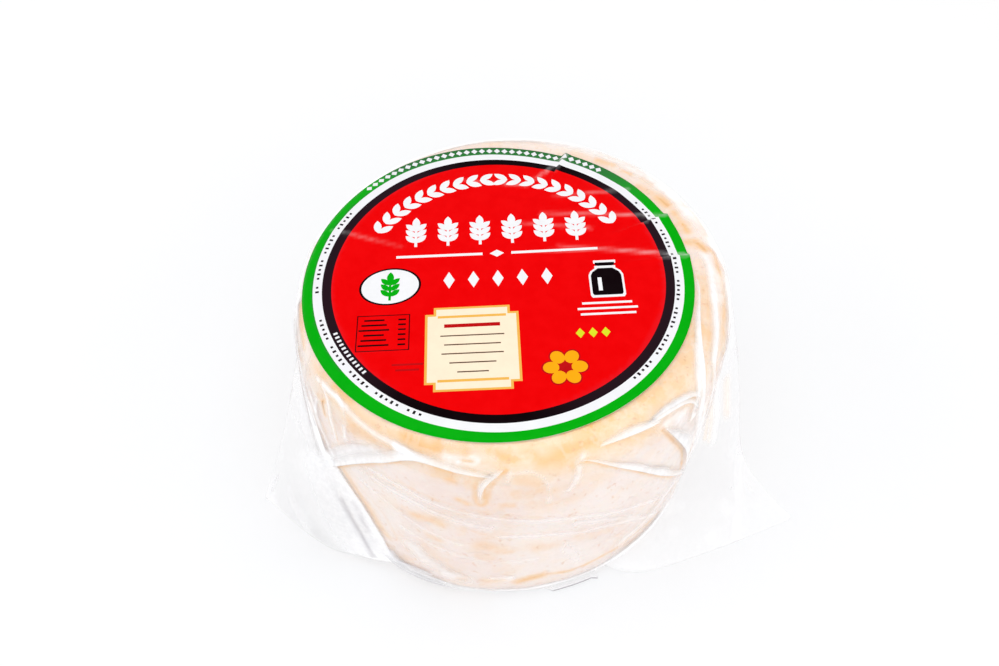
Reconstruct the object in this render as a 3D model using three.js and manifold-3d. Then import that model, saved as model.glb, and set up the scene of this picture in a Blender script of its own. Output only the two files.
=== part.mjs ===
// A whole sheep cheese coated in lard, vacuum packed in a clear bag, with a round label on top.
//
// The cheese can only be seen through its bag, so cheese and bag are one closed body here: the wheel
// in its tight film, the ears of spare film at the bag's corners, the flat seal along the bottom edge
// and the creases where the film folds over itself. The label is a thin round sheet on the bag's top.
//
// Units are millimetres, +Z is up, and the front of the cheese looks along -Y.
// The origin is the middle of the flat base, on the surface that the cheese stands on.
// An azimuth is an angle about Z in degrees: 0 is the right-hand side, -90 the front.

import * as THREE from 'three';
import { mergeVertices } from 'three/addons/utils/BufferGeometryUtils.js';
import Module from 'manifold-3d';

// The wheel.
const WHEEL_RADIUS = 90.5; // at the foot and head of the wall
const WHEEL_HEIGHT = 111; // over the middle of the label
const WALL_BULGE = 1; // the wall is fullest half-way up
const TOP_TILT = THREE.MathUtils.degToRad(1.64); // the top is higher on the right
const HEAD_CENTRE = new THREE.Vector2(4, 3); // the top sits a little off the base, as pressed
const HEAD_ROUNDING = { across: 12, down: 15 };
const FOOT_ROUNDING = { across: 12, down: 14 };
const ROUNDING_POWER = 2.3; // 2 would be an ellipse, more is squarer
const UNEVENNESS = 0.7; // low waves left in the rind by the cloth and the mould

// The label.
const LABEL_RADIUS = 80.5;
const LABEL_CENTRE = new THREE.Vector2(-2, 1.5);
const LABEL_THICKNESS = 0.5;
const LABEL_GAP = 0.3; // between neighbouring pieces
// Where the label is tucked over itself: the rim steps in there, and comes out again over REACH degrees.
const LABEL_TUCKS = [
  { azimuth: 64.5, step: 2.6, reach: 62 },
  { azimuth: 22.5, step: 1.5, reach: 41 },
  { azimuth: 4.5, step: 0.9, reach: 18 },
];

// The film.
const FILM_EDGE = 1.2; // thickness of a doubled and sealed edge, as a solid
const FLOOR_CLEARANCE = 0.4; // loose film lies this far above the surface
const ROOT_DEPTH = 5; // how far ears, seal and creases run into the wheel, to join it

// The ears, from the wheel's wall out to a tip. Each is a doubled sheet between an upper and a lower
// edge. An edge starts on the wall, at an azimuth and height, and goes on through free points.
const EARS = {
  frontRight: {
    upper: { wall: [-5, 104], free: [[99, -10, 85], [106, -17, 51], [110.5, -30, 20], [120, -46, 11], [132, -54.5, 2]] },
    lower: { wall: [-62, 1.5], free: [[59, -80, 1], [95, -70, 1], [131, -56.5, 1]] },
    belly: 2,
  },
  frontLeft: {
    upper: { wall: [-176, 76], free: [[-99, -26, 40], [-113, -35.6, 2]] },
    lower: { wall: [-127, 1.5], free: [[-74, -66, 1], [-90, -57, 1], [-111.5, -37.5, 1]] },
    belly: 3,
  },
  backRight: {
    upper: { wall: [50, 62], free: [[68, 92, 30], [72, 112, 2]] },
    lower: { wall: [92, 1.5], free: [[20, 97, 1], [46, 108, 1], [70, 113, 1]] },
    belly: -3,
  },
  backLeft: {
    upper: { wall: [130, 58], free: [[-60, 90, 26], [-58, 110, 2]] },
    lower: { wall: [98, 1.5], free: [[-16, 98, 1], [-38, 106, 1], [-56, 111, 1]] },
    belly: 3,
  },
};
const EAR_ROOT_THICKNESS = 8;
const EAR_STATIONS = 14;
const EAR_ROWS = 6; // points up each side of an ear's section

// The flat seal that lies round the front of the base, from ear to ear.
// It reaches REACH out from the middle of the base, further where its end turns up.
const SEAL = { from: -132, to: -52, reach: 87, steps: 24 };
const SEAL_END = { azimuth: -69, spread: 7, step: 3.5 };

// Creases: film folded over itself, along [azimuth, height] points on the wall.
const CREASES = {
  frontLeftFold: { width: 5, height: 1.6, route: [[-168, 52], [-151, 62], [-128, 86], [-114, 101], [-95, 102]] },
  frontRightFold: { width: 4, height: 1.5, route: [[-76, 105], [-63, 93], [-51, 72], [-38, 52]] },
  hookedFold: { width: 3.5, height: 1.4, route: [[-94, 105], [-97, 97], [-99.5, 87], [-98, 80]] },
  rightSideFold: { width: 5, height: 2.2, route: [[-14, 108], [-24, 104], [-33, 92], [-33, 70], [-26, 50]] },
  rightSideRidge: { width: 7, height: 3, route: [[6, 104], [2, 84], [-4, 60], [-10, 40]] },
  shortRightFold: { width: 3.5, height: 1.2, route: [[-56, 106], [-49, 104], [-42, 98], [-37, 88]] },
  leftSideFold: { width: 3.5, height: 1.3, route: [[-147, 104], [-152, 88], [-157, 66], [-162, 50]] },
  upperBand: { width: 3, height: 0.9, route: [[-122, 60], [-104, 67], [-88, 63], [-72, 52], [-58, 38]] },
  lowerBand: { width: 3, height: 0.9, route: [[-116, 52], [-100, 54], [-86, 50], [-72, 40], [-60, 28]] },
  backRightFold: { width: 5, height: 1.6, route: [[84, 104], [74, 92], [62, 74], [52, 56]] },
  backLeftFold: { width: 5, height: 1.6, route: [[98, 105], [110, 92], [121, 72], [129, 54]] },
  backBand: { width: 3, height: 0.9, route: [[60, 40], [80, 50], [100, 50], [122, 38]] },
};
// A crease's section: shares of its width and of its height. It is sunk by CREASE_ROOT at its sides.
const CREASE_SECTION = [[-0.5, 0], [-0.25, 0.75], [0, 1], [0.25, 0.75], [0.5, 0]];
const CREASE_ROOT = 1.5;
const CREASE_STEP = 5; // distance between sections along a crease

// How finely the wheel and the label are divided.
const AROUND = 96;
const WALL_ROWS = 9;
const ROUNDING_ROWS = 6;
const LABEL_AROUND = 72;

const { degToRad, lerp } = THREE.MathUtils;

function direction(azimuth) {
  return new THREE.Vector2(Math.cos(degToRad(azimuth)), Math.sin(degToRad(azimuth)));
}

// The tilted plane of the top, before the rim's rounding.
function topHeight(x) {
  return WHEEL_HEIGHT + (x - LABEL_CENTRE.x) * Math.tan(TOP_TILT);
}

// How far a rounded edge draws in, at a share of its depth from the flat face (0) to the wall (1).
function drawnIn(share) {
  return 1 - (1 - (1 - share) ** ROUNDING_POWER) ** (1 / ROUNDING_POWER);
}

// Gentle waves in the wall: a few round the wheel that drift as they rise.
function unevenness(azimuth, rise) {
  const a = degToRad(azimuth);
  return UNEVENNESS * (
    0.5 * Math.sin(3 * a + 1.1 + 1.4 * rise)
    + 0.3 * Math.sin(5 * a - 0.6 - 2.3 * rise)
    + 0.2 * Math.sin(8 * a + 2.0 + 3.1 * rise)
  );
}

// The middle of the wheel at a height, and the wheel's radius there.
function centreAt(z) {
  return HEAD_CENTRE.clone().multiplyScalar(z / WHEEL_HEIGHT);
}

function radiusAt(azimuth, z) {
  const rise = z / WHEEL_HEIGHT;
  const wall = WHEEL_RADIUS + WALL_BULGE * Math.sin(Math.PI * THREE.MathUtils.clamp(rise, 0, 1));
  const reach = centreAt(z).x + direction(azimuth).x * wall;
  const below = topHeight(reach) - z;
  const head = drawnIn(THREE.MathUtils.clamp(below / HEAD_ROUNDING.down, 0, 1));
  const foot = drawnIn(THREE.MathUtils.clamp(z / FOOT_ROUNDING.down, 0, 1));
  const calm = THREE.MathUtils.clamp(Math.min(z, below) / HEAD_ROUNDING.down, 0, 1);
  return wall - head * HEAD_ROUNDING.across - foot * FOOT_ROUNDING.across + calm * unevenness(azimuth, rise);
}

// A point on the wall, moved out along the radius by lift.
function onWall(azimuth, z, lift = 0) {
  const out = direction(azimuth).multiplyScalar(radiusAt(azimuth, z) + lift).add(centreAt(z));
  return new THREE.Vector3(out.x, out.y, z);
}

// The height of the bag's top over a point of the plan, rim rounding included.
function topSurface(x, y) {
  const top = topHeight(x);
  const centre = centreAt(top);
  const offset = new THREE.Vector2(x, y).sub(centre);
  const flatRadius = WHEEL_RADIUS - HEAD_ROUNDING.across;
  const over = THREE.MathUtils.clamp((offset.length() - flatRadius) / HEAD_ROUNDING.across, 0, 1);
  return top - HEAD_ROUNDING.down * (1 - (1 - over ** ROUNDING_POWER) ** (1 / ROUNDING_POWER));
}

// A closed body from rings of equal length, bottom to top, with a middle point closing each end.
function skin(rings, first, last) {
  const count = rings[0].length;
  const points = rings.flat();
  const faces = [];
  for (let r = 0; r + 1 < rings.length; r += 1) {
    for (let i = 0; i < count; i += 1) {
      const next = (i + 1) % count;
      const [a, b] = [r * count + i, r * count + next];
      const [c, d] = [a + count, b + count];
      faces.push(a, b, d, a, d, c);
    }
  }
  const start = points.push(first) - 1;
  const end = points.push(last) - 1;
  const top = (rings.length - 1) * count;
  for (let i = 0; i < count; i += 1) {
    const next = (i + 1) % count;
    faces.push(start, next, i, end, top + i, top + next);
  }
  const geometry = new THREE.BufferGeometry();
  geometry.setAttribute('position', new THREE.Float32BufferAttribute(points.flatMap((p) => p.toArray()), 3));
  geometry.setIndex(faces);
  return geometry;
}

function middle(ring) {
  return ring.reduce((sum, p) => sum.add(p), new THREE.Vector3()).divideScalar(ring.length);
}

// The wheel in its tight film: base, rounded foot, wall, rounded head and flat top.
function wheel() {
  const azimuths = Array.from({ length: AROUND }, (_, i) => (360 * i) / AROUND - 180);
  const rings = [];
  // Levels in the rounded foot crowd towards the base, where it curves most.
  const bend = (row) => 1 - Math.cos((Math.PI / 2) * (row / ROUNDING_ROWS));
  for (let row = 0; row <= ROUNDING_ROWS; row += 1) {
    const z = FOOT_ROUNDING.down * bend(row);
    rings.push(azimuths.map((azimuth) => onWall(azimuth, z)));
  }
  const topOf = (azimuth) => topHeight(HEAD_CENTRE.x + direction(azimuth).x * WHEEL_RADIUS);
  for (let row = 1; row <= WALL_ROWS; row += 1) {
    const share = row / WALL_ROWS;
    rings.push(azimuths.map((azimuth) => {
      const z = lerp(FOOT_ROUNDING.down, topOf(azimuth) - HEAD_ROUNDING.down, share);
      return onWall(azimuth, z);
    }));
  }
  const flatRadius = WHEEL_RADIUS - HEAD_ROUNDING.across;
  for (let row = 1; row <= ROUNDING_ROWS; row += 1) {
    const share = Math.cos((Math.PI / 2) * (row / ROUNDING_ROWS));
    rings.push(azimuths.map((azimuth) => {
      const plan = direction(azimuth).multiplyScalar(flatRadius + HEAD_ROUNDING.across * share).add(HEAD_CENTRE);
      return new THREE.Vector3(plan.x, plan.y, topSurface(plan.x, plan.y));
    }));
  }
  const crown = new THREE.Vector3(HEAD_CENTRE.x, HEAD_CENTRE.y, topHeight(HEAD_CENTRE.x));
  return skin(rings, new THREE.Vector3(0, 0, 0), crown);
}

// An edge of an ear: from inside the wheel, through its point on the wall, to the tip.
function edge({ wall: [azimuth, z], free }) {
  const points = [onWall(azimuth, z, -ROOT_DEPTH), onWall(azimuth, z), ...free.map((p) => new THREE.Vector3(...p))];
  return new THREE.CatmullRomCurve3(points, false, 'centripetal');
}

// An ear: doubled film, thick where its two layers part round the wheel and thin at the tip.
function ear({ upper, lower, belly }) {
  const [head, foot] = [edge(upper), edge(lower)];
  const rings = [];
  for (let s = 0; s <= EAR_STATIONS; s += 1) {
    const along = s / EAR_STATIONS;
    const [u, l] = [head.getPointAt(along), foot.getPointAt(along)];
    const rise = u.clone().sub(l);
    const run = head.getTangentAt(along).add(foot.getTangentAt(along)).normalize();
    const across = new THREE.Vector3().crossVectors(rise, run).setZ(0).normalize();
    const half = lerp(EAR_ROOT_THICKNESS, FILM_EDGE, Math.sqrt(along)) / 2;
    const side = (sign) => Array.from({ length: EAR_ROWS }, (_, row) => {
      const share = row / (EAR_ROWS - 1);
      const arch = Math.sin(Math.PI * share);
      const swell = lerp(FILM_EDGE / 2, half, arch);
      const bow = belly * arch * Math.sin(Math.PI * along);
      return l.clone().addScaledVector(rise, share).addScaledVector(across, bow + sign * swell);
    });
    const ring = [...side(1), ...side(-1).reverse()];
    ring.forEach((p) => { p.z = Math.max(p.z, FLOOR_CLEARANCE); });
    rings.push(ring);
  }
  return skin(rings, middle(rings[0]), middle(rings[EAR_STATIONS]));
}

// The flat seal: a strip that comes out from under the foot's rounding.
function seal() {
  const rings = [];
  for (let s = 0; s <= SEAL.steps; s += 1) {
    const share = s / SEAL.steps;
    const azimuth = lerp(SEAL.from, SEAL.to, share);
    const inner = WHEEL_RADIUS - FOOT_ROUNDING.across - ROOT_DEPTH;
    const end = Math.exp(-(((azimuth - SEAL_END.azimuth) / SEAL_END.spread) ** 2));
    const outer = lerp(inner + ROOT_DEPTH, SEAL.reach, Math.sin(Math.PI * share) ** 0.4) + SEAL_END.step * end;
    const low = FLOOR_CLEARANCE;
    const high = FLOOR_CLEARANCE + FILM_EDGE;
    const at = (r, z) => new THREE.Vector3(...direction(azimuth).multiplyScalar(r).toArray(), z);
    rings.push([at(inner, low), at(inner, high), at(outer, high), at(outer, low)]);
  }
  return skin(rings, middle(rings[0]), middle(rings[SEAL.steps]));
}

// A crease: a low rounded ridge that starts and ends inside the wall.
function crease({ width, height, route }) {
  const curve = new THREE.CatmullRomCurve3(route.map(([azimuth, z]) => onWall(azimuth, z)));
  const plan = new THREE.CatmullRomCurve3(route.map(([azimuth, z]) => new THREE.Vector3(azimuth, z, 0)));
  const steps = Math.ceil(curve.getLength() / CREASE_STEP);
  const rings = [];
  for (let s = 0; s <= steps; s += 1) {
    const share = s / steps;
    const { x: azimuth, y: z } = plan.getPoint(share);
    const before = plan.getPoint(Math.max(share - 0.02, 0));
    const after = plan.getPoint(Math.min(share + 0.02, 1));
    const run = onWall(after.x, after.y).sub(onWall(before.x, before.y)).normalize();
    const foot = onWall(azimuth, z);
    const out = onWall(azimuth, z, 1).sub(foot);
    const across = new THREE.Vector3().crossVectors(run, out).normalize();
    const swell = Math.sin(Math.PI * lerp(0.06, 0.94, share)) ** 0.6;
    rings.push(CREASE_SECTION.map(([sideways, lift]) => foot.clone()
      .addScaledVector(across, sideways * width * swell)
      .addScaledVector(out, lift * height * swell - CREASE_ROOT * (1 - lift))));
  }
  return skin(rings, middle(rings[0]), middle(rings[steps]));
}

// The label's outline: a circle whose rim steps in at each tuck.
function labelRadius(azimuth) {
  return LABEL_TUCKS.reduce((radius, tuck) => {
    const past = THREE.MathUtils.euclideanModulo(azimuth - tuck.azimuth, 360);
    return radius - tuck.step * (1 - THREE.MathUtils.smoothstep(past, 0, tuck.reach));
  }, LABEL_RADIUS);
}

// The label: a thin sheet that follows the bag's top, over the start of the rim's rounding.
function label() {
  const shares = [0.5, 0.8, 0.9, 0.94, 0.97, 1]; // closer together where the rim bends down
  const azimuths = Array.from({ length: LABEL_AROUND }, (_, i) => (360 * i) / LABEL_AROUND - 180);
  const ringAt = (share, lift) => azimuths.map((azimuth) => {
    const plan = direction(azimuth).multiplyScalar(labelRadius(azimuth) * share).add(LABEL_CENTRE);
    return new THREE.Vector3(plan.x, plan.y, topSurface(plan.x, plan.y) + lift);
  });
  const under = shares.map((share) => ringAt(share, LABEL_GAP));
  const over = [...shares].reverse().map((share) => ringAt(share, LABEL_GAP + LABEL_THICKNESS));
  const centreHeight = topSurface(LABEL_CENTRE.x, LABEL_CENTRE.y) + LABEL_GAP;
  return skin(
    [...under, ...over],
    new THREE.Vector3(LABEL_CENTRE.x, LABEL_CENTRE.y, centreHeight),
    new THREE.Vector3(LABEL_CENTRE.x, LABEL_CENTRE.y, centreHeight + LABEL_THICKNESS),
  );
}

const wasm = await Module();
wasm.setup();

// A closed geometry as a solid. One that came out inside out is turned.
function solid(geometry) {
  const clean = mergeVertices(geometry, 1e-4);
  const make = (triangles) => new wasm.Manifold(new wasm.Mesh({
    numProp: 3,
    vertProperties: clean.attributes.position.array,
    triVerts: triangles,
  }));
  const triangles = Uint32Array.from(clean.index.array);
  const body = make(triangles);
  return body.volume() > 0 ? body : make(triangles.reverse());
}

function geometryOf(body) {
  const { vertProperties, triVerts } = body.getMesh();
  const geometry = new THREE.BufferGeometry();
  geometry.setAttribute('position', new THREE.Float32BufferAttribute(vertProperties, 3));
  geometry.setIndex(Array.from(triVerts));
  geometry.computeVertexNormals();
  return geometry;
}

function piece(name, body, material) {
  const mesh = new THREE.Mesh(geometryOf(body), new THREE.MeshStandardMaterial(material));
  mesh.name = name;
  return mesh;
}

const additions = [...Object.values(EARS).map(ear), seal(), ...Object.values(CREASES).map(crease)].map(solid);
const bag = additions.reduce((whole, extra) => whole.add(extra), solid(wheel()));

const cheese = new THREE.Group();
cheese.name = 'bagged_sheep_cheese';
cheese.add(
  piece('bagged_wheel', bag, { color: 0xf6e3cd, roughness: 0.35, metalness: 0 }),
  piece('round_label', solid(label()), { color: 0xd8101a, roughness: 0.3, metalness: 0 }),
);

export default cheese;
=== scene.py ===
# %% [markdown]
# # A lard-coated sheep cheese in its vacuum bag
#
# The object is one low, round cheese. It was rubbed with lard while it ripened, and then shut in a
# clear bag from which the air was drawn. So three things are seen: the mottled rind, the tight film
# with its pleats and its loose corners, and a round printed label that lies on top.
#
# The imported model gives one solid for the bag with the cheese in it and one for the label. Here the
# first is replaced by a wheel of cheese and by thin clear film over it, and the second by a thin
# printed sheet. Every size below is in millimetres, and goes to metres when a mesh is made.

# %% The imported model
import math

import bpy
import numpy as np
from mathutils import Matrix, Vector, geometry, noise
from mathutils.bvhtree import BVHTree


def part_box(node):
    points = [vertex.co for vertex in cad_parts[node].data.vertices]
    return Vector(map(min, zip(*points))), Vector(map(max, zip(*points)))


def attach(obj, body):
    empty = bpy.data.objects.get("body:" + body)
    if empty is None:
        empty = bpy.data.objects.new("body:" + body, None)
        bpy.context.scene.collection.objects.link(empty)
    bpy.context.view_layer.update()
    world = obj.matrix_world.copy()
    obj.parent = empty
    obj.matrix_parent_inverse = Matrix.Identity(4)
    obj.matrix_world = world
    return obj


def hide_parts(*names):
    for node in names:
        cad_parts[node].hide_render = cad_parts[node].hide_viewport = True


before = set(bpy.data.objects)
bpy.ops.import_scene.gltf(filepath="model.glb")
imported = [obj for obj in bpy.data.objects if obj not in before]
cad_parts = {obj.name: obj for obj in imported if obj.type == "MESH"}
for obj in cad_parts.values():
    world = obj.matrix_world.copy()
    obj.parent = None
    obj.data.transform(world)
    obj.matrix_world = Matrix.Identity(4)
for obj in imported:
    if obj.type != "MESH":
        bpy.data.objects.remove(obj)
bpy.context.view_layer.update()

MM = 0.001
label_low, label_high = (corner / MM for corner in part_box("round_label"))
print("nodes:", sorted(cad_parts))
print("label spans", [round(v, 1) for v in label_high - label_low], "mm")

# %% [markdown]
# ## The camera
#
# A photo taken from close by shows the top of the wheel larger than its foot, so the lens matters as
# much as the direction. The camera stands 0.49 m from the cheese and looks down at it by some 51
# degrees. With no tilt to the side, one turn about X and one about Z are enough to aim it.

# %% Camera
CAMERA_PLACE = Vector((-10.5, -264.8, 407.3))
CAMERA_FROM_STRAIGHT_DOWN = math.radians(38.56)
CAMERA_TURN = math.radians(-1.975)
SENSOR_WIDTH = 36.0
FOCAL_LENGTH = 34.95

lens = bpy.data.cameras.new("camera")
lens.sensor_width = SENSOR_WIDTH
lens.lens = FOCAL_LENGTH
camera = bpy.data.objects.new("camera", lens)
camera.location = CAMERA_PLACE * MM
camera.rotation_euler = (CAMERA_FROM_STRAIGHT_DOWN, 0.0, CAMERA_TURN)
bpy.context.scene.collection.objects.link(camera)
bpy.context.scene.camera = camera
bpy.context.scene.view_settings.view_transform = "Standard"
print("camera at", [round(v, 3) for v in camera.location])

# %% [markdown]
# ## Light and floor
#
# The photo is a bright product shot: a white floor that nearly clips, and hardly any shadow. An even
# white world gives most of the light. Large weak lamps above, in front, at both sides and behind
# give the film something soft to mirror, and none stands where it would be seen in the glossy
# label. The floor glows a little, like the top of a light table. Its colour is a little darker round
# the cheese and paler further off, which is a painted shade round the cheese.

# %% Softboxes
# Each has its place in metres, its width and height in metres, and its power in watts.
SOFTBOXES = {
    "overhead": ((0.0, -0.1, 1.35), (1.6, 1.1), 8.6),
    "front": ((0.1, -1.15, 0.55), (1.5, 0.9), 3.9),
    "left": ((-1.1, -0.1, 0.55), (0.9, 0.9), 2.6),
    "right": ((1.05, -0.4, 0.5), (0.9, 0.9), 2.3),
    "back": ((0.0, 1.35, 0.7), (1.6, 0.6), 2.7),
}
AIM = Vector((0.0, 0.0, 0.05))
WORLD_STRENGTH = 0.57
WHITE = (1.0, 1.0, 1.0, 1.0)


def softbox(name, place, size, power):
    lamp = bpy.data.lights.new(name, "AREA")
    lamp.shape = "RECTANGLE"
    lamp.size, lamp.size_y = size
    lamp.energy = power
    holder = bpy.data.objects.new(name, lamp)
    holder.location = place
    holder.rotation_euler = (AIM - holder.location).to_track_quat("-Z", "Y").to_euler()
    bpy.context.scene.collection.objects.link(holder)


for box_name, (place, size, power) in SOFTBOXES.items():
    softbox("softbox_" + box_name, place, size, power)

world = bpy.data.worlds.new("studio")
world.use_nodes = True
world.node_tree.nodes["Background"].inputs["Color"].default_value = WHITE
world.node_tree.nodes["Background"].inputs["Strength"].default_value = WORLD_STRENGTH
bpy.context.scene.world = world
print(len(SOFTBOXES), "softboxes")

# %% [markdown]
# ## How the materials are written
#
# Each finish is a small node tree, and a few helpers keep them short. One starts a material with its
# Principled shader, one adds a node with its values, and the others do sums, mix colours or lay a
# noise pattern. A value that is the same everywhere is typed on the shader itself. Only what changes
# over the surface gets nodes.

# %% Material helpers


def new_material(name, **values):
    """A material, its node tree and its Principled shader, with these values set on the shader."""
    material = bpy.data.materials.new(name)
    material.use_nodes = True
    tree = material.node_tree
    shader = tree.nodes["Principled BSDF"]
    for socket, value in values.items():
        shader.inputs[socket.replace("_", " ")].default_value = value
    return material, tree, shader


def add_node(tree, kind, settings=None, **values):
    """A node with its settings, and with values on the inputs that have those names."""
    node = tree.nodes.new(kind)
    for key, value in (settings or {}).items():
        setattr(node, key, value)
    for socket, value in values.items():
        node.inputs[socket.replace("_", " ")].default_value = value
    return node


def ramp(tree, source, low, high):
    """Spreads the values from low to high of source over 0 to 1, with soft ends."""
    node = add_node(tree, "ShaderNodeMapRange", {"interpolation_type": "SMOOTHSTEP"})
    node.inputs["From Min"].default_value = low
    node.inputs["From Max"].default_value = high
    tree.links.new(source, node.inputs["Value"])
    return node.outputs["Result"]


def maths(tree, operation, *values, clamp=False):
    """A sum on sockets or numbers. clamp keeps the result between 0 and 1."""
    node = add_node(tree, "ShaderNodeMath", {"operation": operation, "use_clamp": clamp})
    for socket, value in zip(node.inputs, values):
        if isinstance(value, (int, float)):
            socket.default_value = value
        else:
            tree.links.new(value, socket)
    return node.outputs["Value"]


# %% Colour and pattern helpers


def blend_colours(tree, factor, a, b):
    """Colour a where factor is 0 and colour b where it is 1. a and b are colours or sockets."""
    node = add_node(tree, "ShaderNodeMix", {"data_type": "RGBA"})
    tree.links.new(factor, node.inputs["Factor"])
    colour_inputs = [s for s in node.inputs if s.type == "RGBA"]
    for socket, value in zip(colour_inputs, (a, b)):
        if isinstance(value, tuple):
            socket.default_value = (*value, 1.0)
        else:
            tree.links.new(value, socket)
    return next(s for s in node.outputs if s.type == "RGBA")


def painted(tree, colour, *layers):
    """Lays colours over one another. A layer is where it shows, how strongly, and its colour."""
    for where, share, shade in layers:
        factor = maths(tree, "MULTIPLY", where, share, clamp=True)
        colour = blend_colours(tree, factor, colour, shade)
    return colour


def speckle(tree, coordinates, scale, detail=3.0, roughness=0.55, offset=0.0):
    """A noise pattern with about `scale` patches in a metre."""
    node = add_node(tree, "ShaderNodeTexNoise", Scale=scale, Detail=detail, Roughness=roughness)
    shift = add_node(tree, "ShaderNodeVectorMath", {"operation": "ADD"})
    shift.inputs[1].default_value = (offset, offset * 0.7, offset * 1.3)
    tree.links.new(coordinates, shift.inputs[0])
    tree.links.new(shift.outputs["Vector"], node.inputs["Vector"])
    return node.outputs["Fac"]


def attribute(tree, name):
    """The values that a mesh carries under this name, one for each of its points."""
    return add_node(tree, "ShaderNodeAttribute", {"attribute_name": name}).outputs["Fac"]


def add_bump(tree, shader, height, distance, strength=1.0):
    node = add_node(tree, "ShaderNodeBump", Distance=distance, Strength=strength)
    tree.links.new(height, node.inputs["Height"])
    tree.links.new(node.outputs["Normal"], shader.inputs["Normal"])


# %% Floor
FLOOR_SIZE = 20.0
FLOOR_DROP = 0.0003
FLOOR_GLOW = 0.50
# The floor's colour, in its darker and its lighter clouds, which near the cheese hold a painted
# shade, and at a distance from the cheese, where that painted shade has faded out.
FLOOR_DARKER, FLOOR_LIGHTER = (0.412, 0.420, 0.434), (0.422, 0.430, 0.444)
FLOOR_PAST_SHADE = (0.462, 0.462, 0.462)
FLOOR_SHADE_FADES_FROM, FLOOR_SHADE_FADES_TO = 0.12, 0.4


def floor_finish():
    material, tree, shader = new_material(
        "pale_floor", Roughness=0.7, Specular_IOR_Level=0.15, Emission_Color=WHITE,
        Emission_Strength=FLOOR_GLOW,
    )
    where = add_node(tree, "ShaderNodeTexCoord").outputs["Object"]
    clouds = ramp(tree, speckle(tree, where, 3.0), 0.2, 0.8)
    tint = blend_colours(tree, clouds, FLOOR_DARKER, FLOOR_LIGHTER)
    # The floor is darker round the cheese and paler further off: a painted shade round the cheese.
    away = add_node(tree, "ShaderNodeVectorMath", {"operation": "LENGTH"})
    tree.links.new(where, away.inputs[0])
    past_painted_shade = ramp(tree, away.outputs["Value"], FLOOR_SHADE_FADES_FROM, FLOOR_SHADE_FADES_TO)
    tree.links.new(blend_colours(tree, past_painted_shade, tint, FLOOR_PAST_SHADE), shader.inputs["Base Color"])
    return material


half = FLOOR_SIZE / 2
floor_mesh = bpy.data.meshes.new("floor")
floor_corners = [(x * half, y * half, -FLOOR_DROP) for x, y in ((-1, -1), (1, -1), (1, 1), (-1, 1))]
floor_mesh.from_pydata(floor_corners, [], [(0, 1, 2, 3)])
floor_mesh.materials.append(floor_finish())
floor = bpy.data.objects.new("floor", floor_mesh)
bpy.context.scene.collection.objects.link(floor)

# %% [markdown]
# ## The form of the wheel
#
# The wheel is a squat cylinder with rounded edges. Its top tilts a little, and sits a few
# millimetres off the base, because it was pressed that way. A turned profile would miss both, so
# the surface is a function: for a direction round the wheel and a height it gives the radius. The
# edges follow a superellipse, which is a quarter round that is a little squarer than a circle.

# %% Wheel dimensions
WHEEL_RADIUS = 90.5
WHEEL_HEIGHT = 111.0
WALL_BULGE = 1.0
TOP_TILT = math.radians(1.64)
HEAD_CENTRE = np.array((4.0, 3.0))
HEAD_ACROSS, HEAD_DOWN = 12.0, 15.0
FOOT_ACROSS, FOOT_DOWN = 12.0, 14.0
ROUNDING_POWER = 2.3
WAVE_HEIGHT = 0.7

LABEL_RADIUS = (label_high.x - label_low.x) / 2
LABEL_CENTRE = np.array(((label_high.x + label_low.x) / 2, label_low.y + LABEL_RADIUS))
print("label radius", round(LABEL_RADIUS, 2), "mm, centre", LABEL_CENTRE.round(2))


def smooth(share):
    """0 below 0, 1 above 1, and a soft step in between."""
    share = np.clip(share, 0.0, 1.0)
    return share * share * (3 - 2 * share)


def polar(radius, azimuth):
    """A place in the plan, for an azimuth in degrees from +X."""
    turn = math.radians(azimuth)
    return np.array((radius * math.cos(turn), radius * math.sin(turn)))


def drawn_in(share):
    """How far a rounded edge draws in, from the flat face (0) to the wall (1)."""
    share = np.clip(share, 0.0, 1.0)
    return 1 - (1 - (1 - share) ** ROUNDING_POWER) ** (1 / ROUNDING_POWER)


def top_height(x):
    """The height of the tilted top, which is the wheel's own height under the label's middle."""
    return WHEEL_HEIGHT + (x - LABEL_CENTRE[0]) * math.tan(TOP_TILT)


def low_waves(turn, rise):
    """The gentle waves that the mould left in the wall."""
    return WAVE_HEIGHT * (
        0.5 * np.sin(3 * turn + 1.1 + 1.4 * rise)
        + 0.3 * np.sin(5 * turn - 0.6 - 2.3 * rise)
        + 0.2 * np.sin(8 * turn + 2.0 + 3.1 * rise)
    )


def on_wall(turn, z, lift=0.0):
    """A point of the wall, for an angle in radians and a height. Both can be arrays."""
    turn, z = np.broadcast_arrays(np.asarray(turn, float), np.asarray(z, float))
    rise = z / WHEEL_HEIGHT
    wall = WHEEL_RADIUS + WALL_BULGE * np.sin(np.pi * np.clip(rise, 0, 1))
    below = top_height(HEAD_CENTRE[0] * rise + np.cos(turn) * wall) - z
    calm = np.clip(np.minimum(z, below) / HEAD_DOWN, 0, 1)
    radius = wall - drawn_in(below / HEAD_DOWN) * HEAD_ACROSS - drawn_in(z / FOOT_DOWN) * FOOT_ACROSS
    radius = radius + calm * low_waves(turn, rise) + lift
    x = HEAD_CENTRE[0] * rise + np.cos(turn) * radius
    y = HEAD_CENTRE[1] * rise + np.sin(turn) * radius
    return np.stack((x, y, z), axis=-1)


def top_surface(x, y):
    """The height of the top over a point of the plan, with the rounding of its rim."""
    top = top_height(x)
    centre = HEAD_CENTRE[:, None] * np.ravel(top) / WHEEL_HEIGHT
    off = np.hypot(np.ravel(x) - centre[0], np.ravel(y) - centre[1]).reshape(np.shape(x))
    over = np.clip((off - (WHEEL_RADIUS - HEAD_ACROSS)) / HEAD_ACROSS, 0, 1)
    return top - HEAD_DOWN * drawn_in(1 - over)


# %% The wheel's surface as rings of points
FOOT_ROWS, HEAD_ROWS = 14, 22
BASE_SHARES = (0.3, 0.6, 0.85)
TOP_SHARES = (0.985, 0.96, 0.92, 0.85, 0.7, 0.45, 0.2)


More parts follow.
